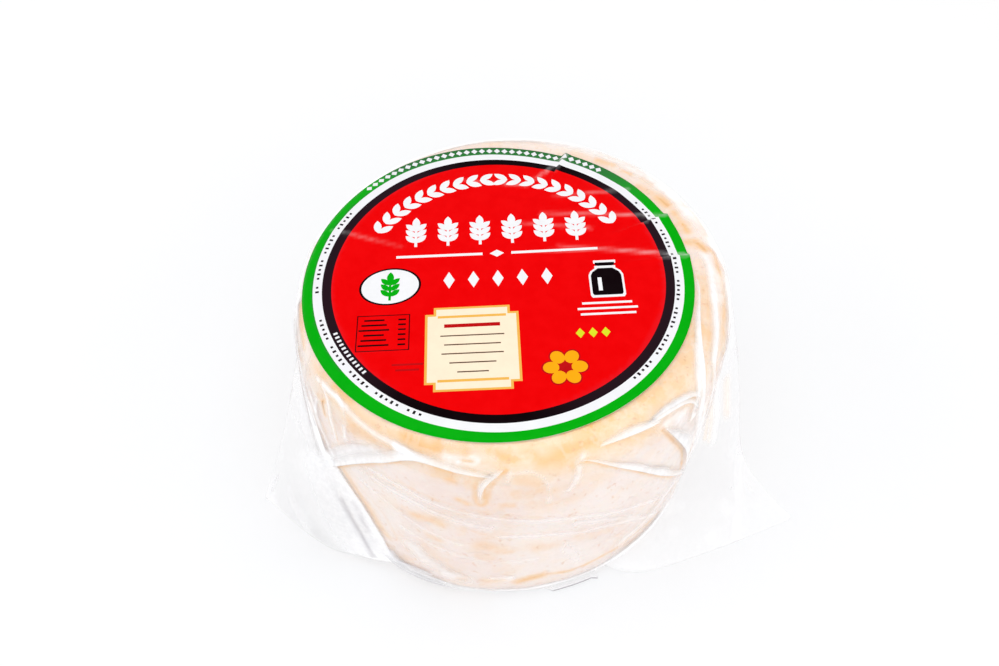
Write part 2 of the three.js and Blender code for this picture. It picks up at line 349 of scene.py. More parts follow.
def wheel_rings(around, wall_rows):
    """Rings from the base's middle to the top's middle, as an array of rows, places round and xyz."""
    turn = np.linspace(-np.pi, np.pi, around, endpoint=False)
    plan = np.stack((np.cos(turn), np.sin(turn)), axis=-1)
    flat = WHEEL_RADIUS - HEAD_ACROSS
    rings = [np.column_stack((plan * flat * share, np.zeros(around))) for share in BASE_SHARES]
    for row in range(FOOT_ROWS + 1):
        rings.append(on_wall(turn, FOOT_DOWN * (1 - math.cos(math.pi / 2 * row / FOOT_ROWS))))
    shoulder = top_height(HEAD_CENTRE[0] + np.cos(turn) * WHEEL_RADIUS) - HEAD_DOWN
    for row in range(1, wall_rows + 1):
        rings.append(on_wall(turn, FOOT_DOWN + (shoulder - FOOT_DOWN) * row / wall_rows))
    out = [math.cos(math.pi / 2 * row / HEAD_ROWS) for row in range(1, HEAD_ROWS + 1)]
    for radius in [flat + HEAD_ACROSS * share for share in out] + [flat * share for share in TOP_SHARES]:
        spot = plan * radius + HEAD_CENTRE
        rings.append(np.column_stack((spot, top_surface(spot[:, 0], spot[:, 1]))))
    return np.array(rings)


def outward(rings):
    """The direction that faces out at each point of the rings."""
    along = np.roll(rings, -1, axis=1) - np.roll(rings, 1, axis=1)
    up = np.gradient(rings, axis=0)
    normal = np.cross(along, up)
    return normal / np.linalg.norm(normal, axis=-1, keepdims=True)


# %% Mesh helpers


def ring_faces(rows, count):
    """Quads between neighbouring rings, and a fan of triangles that closes each end."""
    row, place = np.meshgrid(np.arange(rows - 1), np.arange(count), indexing="ij")
    a = (row * count + place).ravel()
    b = (row * count + (place + 1) % count).ravel()
    faces = np.column_stack((a, b, b + count, a + count)).tolist()
    first, last, top = rows * count, rows * count + 1, (rows - 1) * count
    for i in range(count):
        after = (i + 1) % count
        faces.append((first, after, i))
        faces.append((last, top + i, top + after))
    return faces


def closed_mesh(rings):
    """Points and faces of a closed body through rings of equal length."""
    rows, count = rings.shape[:2]
    points = np.vstack((rings.reshape(-1, 3), rings[0].mean(axis=0), rings[-1].mean(axis=0)))
    return points, ring_faces(rows, count)


def with_ends(values):
    """A value for each point of closed_mesh, from values laid out as the rings are."""
    return np.concatenate((values.ravel(), [values[0].mean(), values[-1].mean()]))


def new_piece(name, points, faces, materials, attributes, material_index=None):
    """An object with smooth faces, from points in millimetres and one value a point per attribute."""
    mesh = bpy.data.meshes.new(name)
    mesh.from_pydata((np.asarray(points) * MM).tolist(), [], faces)
    mesh.polygons.foreach_set("use_smooth", [True] * len(mesh.polygons))
    for material in materials:
        mesh.materials.append(material)
    if material_index is not None:
        mesh.polygons.foreach_set("material_index", material_index)
    for key, values in attributes.items():
        layer = mesh.attributes.new(key, "FLOAT", "POINT")
        layer.data.foreach_set("value", np.asarray(values, np.float32))
    mesh.update()
    piece = bpy.data.objects.new(name, mesh)
    bpy.context.scene.collection.objects.link(piece)
    print(f"{name}: {len(mesh.vertices)} points, {len(mesh.polygons)} faces")
    return piece


def rough(points, size, seed):
    """Smooth random values from -1 to 1, one for each point, with hills about `size` mm across."""
    shift = Vector((seed * 17.3, seed * 5.1, seed * 9.7))
    return np.array([noise.noise(Vector(p) / size + shift) for p in points])


# %% [markdown]
# ## Folds and veils
#
# Nearly all that is seen on the wall comes from the film: white ribbons where it folds over itself,
# milky zones where it is crushed, and tan lines where a fold lets the bare rind show or throws its
# shadow on it. They are listed here once, as routes over the wheel, because the cheese, the film and
# the pleats all need them. A place of a route on the wall is an azimuth in degrees (0 is the right,
# -90 the front) and a height in millimetres. On the flat of the top it is x, y and z instead.
#
# The routes of the front and the sides were picked in the photo, to half a unit. The photo
# doesn't show the back. It gets a few folds of its own, and the front wall's veils and tan lines
# mirrored.

# %% Paths on the wall


def resampled(path, places, wanted):
    """The points of a path at wanted places along it, where its own points lie at places."""
    return np.stack([np.interp(wanted, places, column) for column in path.T], axis=-1)


def along_path(points, step=1.0):
    """Points about `step` mm apart on a smooth curve through these points."""
    points = np.asarray(points, float)
    ends = np.vstack((2 * points[0] - points[1], points, 2 * points[-1] - points[-2]))
    curve = []
    t = np.linspace(0, 1, 24, endpoint=False)[:, None]
    for before, a, b, after in zip(ends, ends[1:], ends[2:], ends[3:]):
        curve.append(0.5 * (2 * a + (b - before) * t + (2 * before - 5 * a + 4 * b - after) * t**2
                            + (3 * a - before - 3 * b + after) * t**3))
    curve = np.vstack((*curve, points[-1:]))
    length = np.concatenate(([0], np.cumsum(np.linalg.norm(np.diff(curve, axis=0), axis=1))))
    return resampled(curve, length, np.linspace(0, length[-1], max(4, int(length[-1] / step) + 1)))


def wall_path(route, step=1.0):
    """A path on the wheel through places of a route, of two or three numbers each."""
    points = [p if len(p) == 3 else on_wall(math.radians(p[0]), p[1]) for p in route]
    return along_path(points, step)


def gaps_to(points, path, reach):
    """How far each point is from a path, in mm. Beyond `reach` it is infinite."""
    gaps = np.full(len(points), np.inf)
    low, high = path.min(axis=0) - reach, path.max(axis=0) + reach
    near = np.flatnonzero(((points > low) & (points < high)).all(axis=1))
    if len(near):
        spot, start, run = points[near, None, :], path[:-1][None], np.diff(path, axis=0)[None]
        share = np.clip(((spot - start) * run).sum(-1) / np.maximum((run**2).sum(-1), 1e-9), 0, 1)
        gaps[near] = np.linalg.norm(spot - start - share[..., None] * run, axis=-1).min(axis=1)
    return gaps


def beside(path, side, distance):
    """A path moved sideways over the wheel: to its left for side 1, to its right for -1."""
    along = np.gradient(path, axis=0)
    off = (path - (*HEAD_CENTRE, 0.0)) * (1.0, 1.0, 0.0)
    off /= np.linalg.norm(off, axis=1, keepdims=True)
    drop = (top_height(path[:, 0]) - path[:, 2])[:, None] / HEAD_DOWN
    out = off * smooth(drop * 2.0) + (0.0, 0.0, 1.0) * (1 - smooth(drop * 2.0))
    across = np.cross(out, along) * side
    return path + across / np.linalg.norm(across, axis=1, keepdims=True) * distance


def band(points, path, width):
    """1 along a path, falling softly to 0 over about 1.5 widths to each side."""
    return np.exp(-((gaps_to(points, path, 3 * width) / width) ** 2))


# %% Pleats
# Every pleat has the route of its lip and the widths of its soft side from start to end. Then come
# the height of the lip over the film, how white it gets, how grey it is with painted shade, how dark
# the painted shadow line under the lip is, and the side on which the lip is: 1 is left of the route
# as seen from outside, -1 is right.
PLEATS = {
    "front_left": (
        [(-157, 26), (-153, 35), (-138.5, 66.5), (-128.5, 85), (-119, 97.5), (-115, 101), (-107, 101),
         (-103.5, 100.5), (-95.5, 100.5)],
        (2.5, 3.0, 4.5, 5.5, 5.5, 5.5, 5.0), 1.4, 1.0, 0.0, 1.25, -1,
    ),
    "hooked": (
        [(-94, 104.5), (-97.5, 98), (-98.5, 95), (-99, 90.5), (-99, 86)],
        (3.0, 3.6, 3.4, 3.2, 2.6), 0.9, 0.6, 0.0, 1.2, 1,
    ),
    "front_right": (
        [(-76, 105), (-74, 104.5), (-71.5, 102), (-66, 94.5), (-59, 83.5), (-50.5, 67.5), (-41, 50),
         (-35, 40)],
        (2.0, 3.4, 4.2, 4.6, 4.4, 4.0), 1.3, 1.0, 0.0, 1.6, -1,
    ),
    "triangle_top": (
        [(32, -80, 108), (47.5, -73.5, 107.5), (55.5, -69, 107)],
        (3.0, 3.8, 3.4), 0.8, 0.8, 0.0, 0.5, -1,
    ),
    "triangle_side": (
        [(-53.5, 103.5), (-46.5, 85), (-40, 66.5), (-37, 52.5), (-35, 41)],
        (3.0, 5.5, 6.5, 6.0, 4.5), 1.0, 1.0, 0.0, 1.6, -1,
    ),
    "right_upright": (
        [(78.5, -4, 113.5), (79, -11, 113.5), (76.5, -26.5, 113.5), (75, -41, 112.5), (74.5, -51, 107),
         (-38, 97), (-35, 74.5), (-31, 52)],
        (2.0, 3.0, 3.6, 4.0, 4.4, 4.4, 4.0), 1.2, 1.0, 0.0, 1.0, 1,
    ),
    "right_second": (
        [(85, -3.5, 113), (85, -11.5, 113), (84, -21.5, 112), (82.5, -32.5, 110.5), (80, -42.5, 107.5),
         (-31.5, 98), (-28, 66)],
        (1.6, 2.4, 3.0, 3.6, 3.4), 0.7, 0.6, 0.0, 0.3, 1,
    ),
    "right_third": (
        [(-27.5, 88), (-25, 66), (-24, 44)],
        (3.0, 3.6, 2.6), 0.9, 0.7, 0.05, 0.4, -1,
    ),
    "right_short": (
        [(52, -70, 109), (57.5, -66, 109), (64, -61.5, 108), (-41.5, 105.5), (-40, 101)],
        (2.4, 3.2, 3.4, 3.0), 0.6, 0.85, 0.0, 0.5, -1,
    ),
    "right_short_low": (
        [(47.5, -73.5, 108), (60.5, -65, 107.5), (-44, 105), (-40, 95)],
        (2.2, 3.0, 3.2, 2.8), 0.5, 0.8, 0.0, 0.5, -1,
    ),
    "left_slit": (
        [(-148, 103), (-145, 100.5), (-143.5, 97), (-140.5, 78)],
        (2.0, 3.0, 3.0, 2.4), 0.7, 0.6, 0.0, 0.8, -1,
    ),
    "left_rim": (
        [(-166, 100), (-161.5, 92), (-158.5, 82), (-157, 70)],
        (3.0, 4.4, 4.0, 3.0), 0.8, 0.75, 0.0, 0.3, 1,
    ),
    "left_rim_outer": (
        [(-176, 98), (-171, 82), (-166, 64), (-161, 46), (-156, 30)],
        (3.0, 4.2, 4.2, 3.4), 0.8, 0.7, 0.12, 0.2, 1,
    ),
    "foot_gather": (
        [(-127, 15), (-123, 9), (-118, 7), (-111, 7), (-103, 5)],
        (4.0, 6.0, 5.0, 4.0), 1.6, 0.8, 0.6, 0.4, -1,
    ),
    "back_right": (
        [(70, 104), (66, 101), (58, 92), (50, 76), (42, 56), (36, 42)],
        (2.0, 3.8, 4.6, 4.4, 4.0), 1.3, 1.0, 0.0, 1.2, 1,
    ),
    "back_left": (
        [(88, 100.5), (93, 100.5), (100, 101), (107, 97.5), (116, 85), (125, 66), (137, 35)],
        (5.0, 5.5, 5.5, 4.5, 3.0), 1.4, 1.0, 0.0, 1.0, -1,
    ),
    "back_right_second": (
        [(48, 104), (42, 76), (36, 56)],
        (3.0, 5.5, 5.0, 4.0), 1.0, 0.9, 0.0, 1.2, 1,
    ),
    "back_left_second": (
        [(163, 104), (167, 92), (171, 74), (175, 54)],
        (2.4, 4.0, 4.4, 3.6), 1.0, 0.85, 0.0, 0.8, -1,
    ),
    "back_low": (
        [(18, 104), (15, 92), (9, 70), (1, 48)],
        (2.4, 4.0, 4.4, 3.6), 1.0, 0.85, 0.0, 0.8, 1,
    ),
}

# %% Milky zones
# Route, width, how white and how grey with painted shade.
VEILS = [
    # Round the rim.
    ([(-150, 102), (-143, 104), (-137.5, 104), (-130.5, 103), (-124, 103),
      (-115.5, 102)], 1.5, 0.95, 0.0),
    ([(-121, 103.5), (-113, 102.5)], 1.8, 0.7, 0.0),
    ([(-26, -77.5, 108), (-24.5, -79.5, 106.5), (-108, 106), (-19.5, -81.5, 106.5), (-13.5, -82.5, 107),
      (-12, -83.5, 106.5), (-101.5, 105), (-105, 105)], 1.0, 0.45, 0.0),
    ([(-93, 103), (-93, 98.5)], 1.2, 0.4, 0.0),
    ([(170, 104), (-178, 104), (-168, 103), (-158, 103)], 4.0, 0.5, 0.0),
    ([(90, 9.5, 110.5), (88, 20.5, 110), (84, 31, 109.5), (80, 44, 109), (52, 108), (70, 107.5),
      (90, 107), (110, 107), (135, 107), (160, 106)], 4.6, 1.0, 0.0),
    ([(80, 33, 112.5), (73.5, 46, 112.5), (64, 58, 112), (52, 69, 112), (36, 79, 111), (16, 86, 110),
      (-6, 88, 109.5), (-30, 84, 109.5)], 3.0, 0.55, 0.0),
    ([(83, 9.5, 113.5), (84.5, 4.5, 113.5), (85, -3.5, 113.5), (83.5, -21.5, 112.5), (82, -32.5, 111),
      (79.5, -42.5, 108)], 1.9, 0.8, 0.0),
    ([(-30, -77, 107.5), (-25, -78.5, 108), (-19, -80.5, 108), (-7, -83.5, 107)], 5.0, 0.36, 0.0),
    ([(-112, 106), (-108, 104.5), (-105.5, 104.5)], 2.4, 0.4, 0.0),
    ([(53.5, -70, 108), (59.5, -65.5, 107.5), (64, -62, 107.5)], 2.5, 0.6, 0.0),
    ([(-53, 103.5), (-49, 103.5), (-46.5, 102.5)], 3.5, 0.6, 0.0),
    ([(73.5, -39, 113), (72.5, -45, 112), (72, -51, 110), (-41.5, 99.5), (-41, 91)], 1.5, 0.8, 0.0),
    # The left side.
    ([(-145.5, 55.5), (-138, 76), (-129.5, 92), (-123.5, 99), (-119.5, 100)], 3.6, 0.75, 0.06),
    ([(-141.5, 105), (-138.5, 102.5), (-137, 98.5), (-137, 88)], 0.9, 0.6, 0.0),
    ([(-149.5, 97), (-149, 93.5), (-151.5, 80)], 1.2, 0.6, 0.0),
    ([(-158, 60), (-154, 50), (-150, 48)], 5.0, 0.7, 0.06),
    ([(-153, 86), (-149, 72), (-144, 62)], 3.0, 0.45, 0.04),
    ([(-176, 98), (-168, 84), (-160, 64), (-152, 48)], 10.0, 0.7, 0.04),
    ([(-158, 96), (-154, 84), (-151, 72)], 3.0, 0.35, 0.02),
    ([(-156, 76), (-150.5, 54), (-146, 55)], 3.0, 0.8, 0.0),
    ([(150, 56), (165, 48), (180, 43), (195, 42)], 1.2, 0.4, 0.0),
    ([(140, 72), (158, 66), (176, 55), (192, 50)], 1.0, 0.35, 0.0),
    # The front wall.
    ([(26, -82.5, 107), (-76.5, 102.5), (-76.5, 98), (-77.5, 91.5), (-78.5, 88.5)], 1.3, 0.6, 0.0),
    ([(-92, 102.5), (-88, 103), (-85, 99.5), (-83.5, 93.5), (-83, 88), (-83, 82.5)], 1.0, 0.35, 0.0),
    ([(-131, 72), (-119.5, 74), (-109.5, 71), (-99, 68), (-89.5, 65), (-80, 62), (-70, 58),
      (-59, 48)], 5.0, 0.2, 0.05),
    ([(-116.5, 35), (-114, 29.5), (-107.5, 21.5), (-103.5, 19)], 4.5, 0.6, 0.0),
    ([(-95, 22), (-90.5, 22.5)], 2.0, 0.5, 0.0),
    ([(-77.5, 46.5), (-72.5, 27.5)], 4.0, 0.26, 0.0),
    ([(-126.5, 20.5), (-124.5, 15.5), (-122, 13), (-117.5, 15), (-112.5, 15)], 1.2, 0.8, 0.45),
    ([(-124.5, 18), (-122, 13), (-119, 10.5), (-115, 10), (-110, 10)], 2.8, 0.75, 0.48),
    ([(-131, 80), (-119.5, 80), (-114, 78), (-107.5, 76), (-99, 74), (-89.5, 71), (-79.5, 68),
      (-74.5, 66), (-70, 63), (-55.5, 52), (-46, 41)], 1.2, 0.32, 0.0),
    ([(-94, 59), (-87, 58), (-79, 56), (-72.5, 52), (-68, 51), (-57.5, 42.5),
      (-46, 27.5)], 1.2, 0.32, 0.0),
    ([(-128, 74), (-117, 73), (-107, 69), (-97, 65)], 1.2, 0.2, 0.0),
    ([(-75, 62), (-66, 55), (-54, 41)], 1.1, 0.25, 0.0),
    ([(-133, 66), (-124, 62), (-114, 55), (-104, 50)], 1.2, 0.22, 0.0),
    ([(-92, 7), (-82, 7), (-72, 6.5), (-63, 8), (-55, 11), (-47, 13), (-40, 16)], 4.2, 1.0, 0.0),
    ([(-120, 48), (-108, 42), (-96, 38), (-84, 38)], 1.2, 0.18, 0.0),
    # The right side.
    ([(-36, 88), (-32, 70), (-29, 50)], 6.0, 0.6, 0.0),
    ([(-8, 108), (-14, 96), (-18, 78), (-20, 58)], 8.0, 0.65, 0.02),
    ([(-48, 100), (-42, 84), (-36, 66)], 3.0, 0.45, 0.0),
    ([(-58, 26), (-48, 32), (-40, 42)], 4.0, 0.35, 0.0),
    ([(40, 62), (24, 54), (8, 48), (-8, 46)], 1.2, 0.4, 0.0),
    # The back, as a guess.
    ([(60, 42), (80, 52), (100, 52), (122, 40)], 1.3, 0.42, 0.0),
    ([(44, 82), (28, 72), (12, 60), (-4, 52)], 1.0, 0.35, 0.0),
]

# %% Tan lines and patches of bare rind
# Route, width and strength. Over 1 the rind turns brown, as in the slit at the left.
TAN_LINES = [
    # Round the rim.
    ([(72, -35, 113), (70, -40, 113)], 3.0, 0.5),
    ([(67.5, -46, 113), (61, -54, 112.5), (54, -61.5, 112)], 5.0, 0.7),
    ([(-135, 105), (-131.5, 104.5), (-127.5, 104.5), (-123.5, 105), (-119.5, 105)], 3.0, 0.5),
    ([(81.5, -4, 113.5), (81.5, -10.5, 113.5), (79.5, -30, 113), (78, -40, 111.5)], 1.1, 0.9),
    ([(86, 12.5, 113), (88.5, 8.5, 112), (89.5, -4.5, 111.5), (88, -20.5, 110), (86.5, -28.5, 108.5),
      (-22, 96)], 1.4, 1.0),
    ([(78.5, 16, 113.5), (82, 15, 113.5), (84.5, 11, 113.5)], 2.4, 1.2),
    ([(77.5, 27, 113), (79, 22, 113.5)], 1.8, 1.2),
    ([(75, 34, 113), (77, 27.5, 113)], 1.7, 1.0),
    ([(69.5, 43.5, 113), (73, 38.5, 113)], 2.4, 1.3),
    ([(62, 51, 113), (67.5, 46, 113)], 2.0, 0.8),
    ([(55.5, 61.5, 112.5), (59.5, 59, 112.5)], 0.7, 1.2),
    ([(45.5, 69.5, 112), (52, 65.5, 112.5)], 1.7, 0.9),
    ([(64, 56, 112), (68, 51.5, 112)], 1.2, 0.7),
    ([(78, -3, 113.5), (77, -9, 113.5)], 0.8, 1.2),
    ([(69, -50, 112), (70.5, -43.5, 113), (70, -38.5, 113)], 1.6, 0.7),
    ([(65.5, -56, 111), (63, -60, 110)], 2.0, 0.7),
    ([(-174, 105), (-164, 103.5), (-161, 102)], 2.4, 1.0),
    ([(-150, 105), (-148, 105.5)], 1.2, 0.8),
    ([(-144, 106), (-59.5, -56, 106.5)], 1.6, 1.0),
    ([(-38.5, -72.5, 107), (-34.5, -75.5, 106.5), (-30, -78, 106.5), (-26.5, -78, 107.5)], 3.4, 1.1),
    ([(-22.5, -79, 108), (-16.5, -81.5, 107.5)], 2.2, 0.6),
    ([(-104, 105.5), (-14.5, -83, 106)], 0.8, 0.8),
    ([(-7, -81, 109.5), (-3, -83, 108), (2.5, -84.5, 107.5)], 2.0, 0.9),
    ([(7, -83, 109), (12, -85, 106.5), (17.5, -83, 108), (30.5, -78.5, 110)], 2.6, 0.9),
    ([(20, 110), (33, 109)], 3.0, 0.7),
    ([(46, 110), (58, 109.5)], 3.0, 0.6),
    ([(12, 112), (20, 111)], 2.0, 0.5),
    # The left side.
    ([(-142, 60.5), (-133.5, 48.5), (-130.5, 42.5), (-125.5, 31)], 3.0, 0.8),
    ([(-135.5, 57), (-130, 53.5), (-126, 48.5), (-123.5, 41), (-122, 32.5)], 0.7, 0.6),
    ([(-158, 86), (-155.5, 75), (-154, 64.5)], 1.2, 0.5),
    ([(-150, 99), (-148, 98.5), (-145.5, 97)], 1.5, 0.9),
    ([(-147.5, 97.5), (-146.5, 94.5), (-146.5, 86)], 1.3, 1.8),
    ([(-149.5, 98), (-149, 94.5)], 1.3, 1.0),
    ([(-144.5, 88), (-142.5, 81)], 1.3, 0.9),
    ([(-135.5, 98), (-126.5, 99), (-122.5, 100.5)], 2.8, 0.9),
    ([(-145.5, 65.5), (-137.5, 83), (-131.5, 92), (-126.5, 96.5), (-121.5, 99.5)], 0.6, 0.5),
    # The front wall.
    ([(-126.5, 17.5), (-125, 11), (-123, 6.5)], 0.8, 0.5),
    ([(-131, 79), (-125, 89.5), (-120.5, 95.5), (-117, 98.5)], 1.8, 0.9),
    ([(-94, 104), (-97, 93.5), (-98, 83), (-99.5, 81.5), (-100.5, 86), (-100.5, 97)], 1.1, 1.0),
    ([(-91, 98.5), (-88, 96.5), (-85, 92.5), (-87.5, 89)], 3.4, 0.55),
    ([(-92, 90), (-86, 89), (-80, 90), (-74, 91), (-68, 91)], 5.0, 0.3),
    ([(-87, 82), (-82, 80), (-76, 80)], 4.0, 0.3),
    ([(-107, 95), (-105.5, 94.5)], 1.4, 0.8),
    ([(-104.5, 83), (-102.5, 81)], 1.6, 1.0),
    ([(-93.5, 81.5), (-91.5, 81.5)], 1.8, 0.7),
    ([(-82.5, 79), (-80.5, 80.5)], 1.3, 0.7),
    ([(-111.5, 79.5), (-109.5, 78.5)], 0.7, 0.9),
    ([(-115.5, 61.5), (-111.5, 63), (-109, 61.5)], 2.8, 0.8),
    ([(-112, 64), (-110.5, 63.5)], 0.9, 0.8),
    ([(-112, 49), (-109.5, 48)], 2.0, 0.6),
    ([(-101, 61.5), (-98, 59.5)], 0.7, 0.7),
    ([(-92.5, 44.5), (-91, 44.5)], 1.6, 0.7),
    ([(-98, 51), (-94, 47)], 4.0, 0.6),
    ([(-85, 47), (-79, 46)], 3.6, 0.4),
    ([(-104, 17.5), (-102.5, 18)], 1.8, 0.6),
    ([(-97.5, 18.5), (-92.5, 19.5)], 2.2, 0.7),
    ([(-119.5, 82), (-115, 80.5), (-111, 80), (-107, 78.5), (-102.5, 78), (-95, 75), (-91.5, 74),
      (-83.5, 70.5)], 0.7, 0.35),
    ([(-89.5, 17), (-87, 18.5), (-85, 21), (-78.5, 19.5), (-72, 17.5), (-65, 19), (-58, 20),
      (-50.5, 21), (-42, 19.5)], 1.2, 1.1),
    ([(-88, 17), (-85, 19), (-81.5, 20)], 2.6, 1.1),
    # The right side.
    ([(-31, 84), (-29, 58)], 1.4, 0.8),
]

# %% Mirrored to the back
FRONT_FROM, FRONT_TO = -150, -30
BACK_SPREAD = 0.9


def with_back(rows):
    """The rows, and again those that lie on the front wall alone, mirrored to the back."""
    front = [row for row in rows if all(len(p) == 2 and FRONT_FROM < p[0] < FRONT_TO for p in row[0])]
    return rows + [([(-BACK_SPREAD * azimuth, z) for azimuth, z in route], *facts)
                   for route, *facts in front]


VEILS = with_back(VEILS)
TAN_LINES = with_back(TAN_LINES)
print(len(PLEATS), "pleats,", len(VEILS), "veils,", len(TAN_LINES), "tan lines")

# %% Where the rind shows, and the painted shadow under the pleats
# A painted shadow line lies on the rind under the lip of each pleat: how far from the lip, and how wide.
SHADOW_LINE_GAP, SHADOW_LINE_WIDTH = 1.1, 1.0


def tan_and_shadow_share(points):
    """How strongly each point of the rind shows a tan line or patch, with the painted shadow line under
    each pleat's lip. Over 1 it turns brown.
    """
    share = np.zeros(len(points))
    for route, width, strength in TAN_LINES:
        share = np.maximum(share, strength * band(points, wall_path(route), width))
    for route, _, _, _, _, shadow_line, side in PLEATS.values():
        shadow_under_lip = beside(wall_path(route), side, SHADOW_LINE_GAP)
        share = np.maximum(share, shadow_line * band(points, shadow_under_lip, SHADOW_LINE_WIDTH))
    return share


# %% [markdown]
# ## The cheese
#
# The rind has shallow dents and low lumps from the cloth it was pressed in, and pores where lard
# filled small holes. From a step away it reads as one ivory mass with tan and orange patches, and
# it is deepest in colour round the top edge. The relief is moved into the mesh itself, because it
# shows at the outline. It sits a third of a millimetre under the film.

# %% Cheese relief
CHEESE_AROUND, CHEESE_WALL_ROWS = 560, 92
FILM_GAP = 0.35
DENT, LUMP, PORE = 0.45, 0.2, 0.5
DENT_SIZE, LUMP_SIZE, PORE_SIZE = 17.0, 6.0, 4.5
DENT_CREST = 0.25  # the dents' waves are cut off here, which leaves flat rind between the dents
PORE_FROM, PORE_EDGE = 0.42, 0.3  # the share of the noise above which a pore opens, and how softly


def cheese_relief(points):
    """How far the rind stands out at each point, in mm, over the smooth form of the wheel."""
    dents = DENT * np.minimum(rough(points, DENT_SIZE, 1), DENT_CREST)
    lumps = LUMP * rough(points, LUMP_SIZE, 2)
    pores = rough(points, PORE_SIZE, 3)
    return dents + lumps - PORE * smooth((pores - PORE_FROM) / PORE_EDGE)


rings = wheel_rings(CHEESE_AROUND, CHEESE_WALL_ROWS)
cheese_normals = outward(rings)
relief = cheese_relief(rings.reshape(-1, 3)).reshape(rings.shape[:2])
relief[: len(BASE_SHARES) + 1] = 0.0
rings = rings + cheese_normals * (relief - FILM_GAP - DENT * DENT_CREST - LUMP * 0.6)[..., None]
rings[..., 2] = np.maximum(rings[..., 2], FILM_GAP)
cheese_points, cheese_faces = closed_mesh(rings)
print("relief of the rind from", relief.min().round(2), "to", relief.max().round(2), "mm")

# %% The rim's deeper colour
# It is full just outside the label's edge, and gone some way down the wall. It is strong within 20
# degrees of the front, and gets pale over the next 80, since the lard lies thicker at the back.
RIM_DEEP, RIM_FADE = 4.0, 17.0
RIM_INNER, RIM_INNER_FADE = 60.0, 15.0
RIM_STRONG, RIM_TURN, RIM_AT_BACK = 20.0, 80.0, 0.15
off_label = np.hypot(rings[..., 0] - LABEL_CENTRE[0], rings[..., 1] - LABEL_CENTRE[1])
drop = top_height(rings[..., 0]) - rings[..., 2]
rim_share = (1 - smooth((drop - RIM_DEEP) / RIM_FADE)) * smooth((off_label - RIM_INNER) / RIM_INNER_FADE)
facing = np.degrees(np.arctan2(rings[..., 1], rings[..., 0]))
from_front = np.abs((facing + 90 + 180) % 360 - 180)
rim_share *= 1 - (1 - RIM_AT_BACK) * smooth((from_front - RIM_STRONG) / RIM_TURN)
tan_and_shadow_values = tan_and_shadow_share(rings.reshape(-1, 3)).reshape(rings.shape[:2])

# %% [markdown]
# ### The rind's colour
#
# Under the film the lard makes the rind pale and a little pink, with soft tan patches. Round the
# top edge it goes to a light orange. No picture is used, so noise at three sizes lays the patches:
# broad ones of 3 cm, clouds of 1 cm, and specks of 2 mm. The film clings to the fat, so the gloss of
# the film is a clear coat on the rind.

# %% Rind finish
WALL_PALE, WALL_TAN, WALL_LARD = (0.85, 0.70, 0.635), (0.87, 0.63, 0.44), (0.92, 0.85, 0.81)
RIM_PALE, RIM_ORANGE, RIM_LARD = (0.88, 0.60, 0.30), (0.87, 0.51, 0.13), (0.90, 0.78, 0.66)
BARE, SLIT = (0.86, 0.49, 0.17), (0.50, 0.24, 0.09)
VEIN, SPECK = (0.90, 0.82, 0.74), (0.68, 0.36, 0.18)


def rind_finish():
    material, tree, shader = new_material(
        "lard_rind",
        Roughness=0.5,
        Coat_Weight=0.6,
        Coat_Roughness=0.16,
        Subsurface_Weight=0.12,
        Subsurface_Radius=(0.004, 0.002, 0.001),
    )
    where = add_node(tree, "ShaderNodeTexCoord").outputs["Object"]
    broad = ramp(tree, speckle(tree, where, 28.0, 2.0), 0.40, 0.62)
    clouds = ramp(tree, speckle(tree, where, 85.0, 4.0, 0.6, 3.1), 0.46, 0.60)
    specks = ramp(tree, speckle(tree, where, 380.0, 3.0, 0.6, 7.7), 0.60, 0.72)
    swirl = speckle(tree, where, 60.0, 4.0, 0.6, 5.5)
    veins = ramp(tree, maths(tree, "ABSOLUTE", maths(tree, "SUBTRACT", swirl, 0.5)), 0.05, 0.0)
    # tan also carries the painted shadow line under each pleat's lip, so BARE and SLIT paint that shadow
    # too.
    tan = attribute(tree, "tan")
    slit = maths(tree, "MULTIPLY_ADD", tan, 2.0, -2.0, clamp=True)
    wall = painted(tree, WALL_PALE, (clouds, 0.55, WALL_TAN), (broad, 0.5, WALL_LARD))
    rim = painted(tree, RIM_PALE, (clouds, 1.0, RIM_ORANGE), (broad, 0.5, RIM_LARD))
    colour = painted(
        tree, wall, (attribute(tree, "rim"), 1.0, rim), (tan, 0.8, BARE), (slit, 1.0, SLIT),
        (veins, 0.22, VEIN), (specks, 0.5, SPECK),
    )
    tree.links.new(colour, shader.inputs["Base Color"])
    add_bump(tree, shader, speckle(tree, where, 600.0, 4.0, 0.6, 1.7), 0.0004, 0.5)
    return material


cheese = new_piece(
    "cheese_wheel", cheese_points, cheese_faces, [rind_finish()],
    {"rim": with_ends(rim_share), "tan": with_ends(tan_and_shadow_values)},
)
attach(cheese, "root")
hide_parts("bagged_wheel")

# %% [markdown]
# ## The film
#
# The bag is a tube of thin clear film. Where it is drawn flat on the cheese it is only seen by its
# gloss. Where it folds over itself it turns white, since each layer adds a little haze. So the film
# has its own mesh just outside the cheese, and a value called haze on each point says how white it
# is there. The haze drives Alpha, and the gloss comes from the shader. Two more values, grey and
# warm, dull the film where it is in its own shadow, or tint it where the rind shines through.
#
# Crushed film also passes on the light that falls on it from behind, and a thin closed strip can't
# catch that. A faint painted glow stands in for it, and a value called lit adds more painted glow
# where the film closes off a dark corner, which lifts the shade there. These large meshes aren't
# sampled as lamps: a ray that meets the film still finds its glow, and the render stays quick.

# %% Film finish
LIT_GLOW = 0.3
FILM_SHADOW, FILM_TAN = (0.30, 0.27, 0.31), (0.93, 0.68, 0.44)


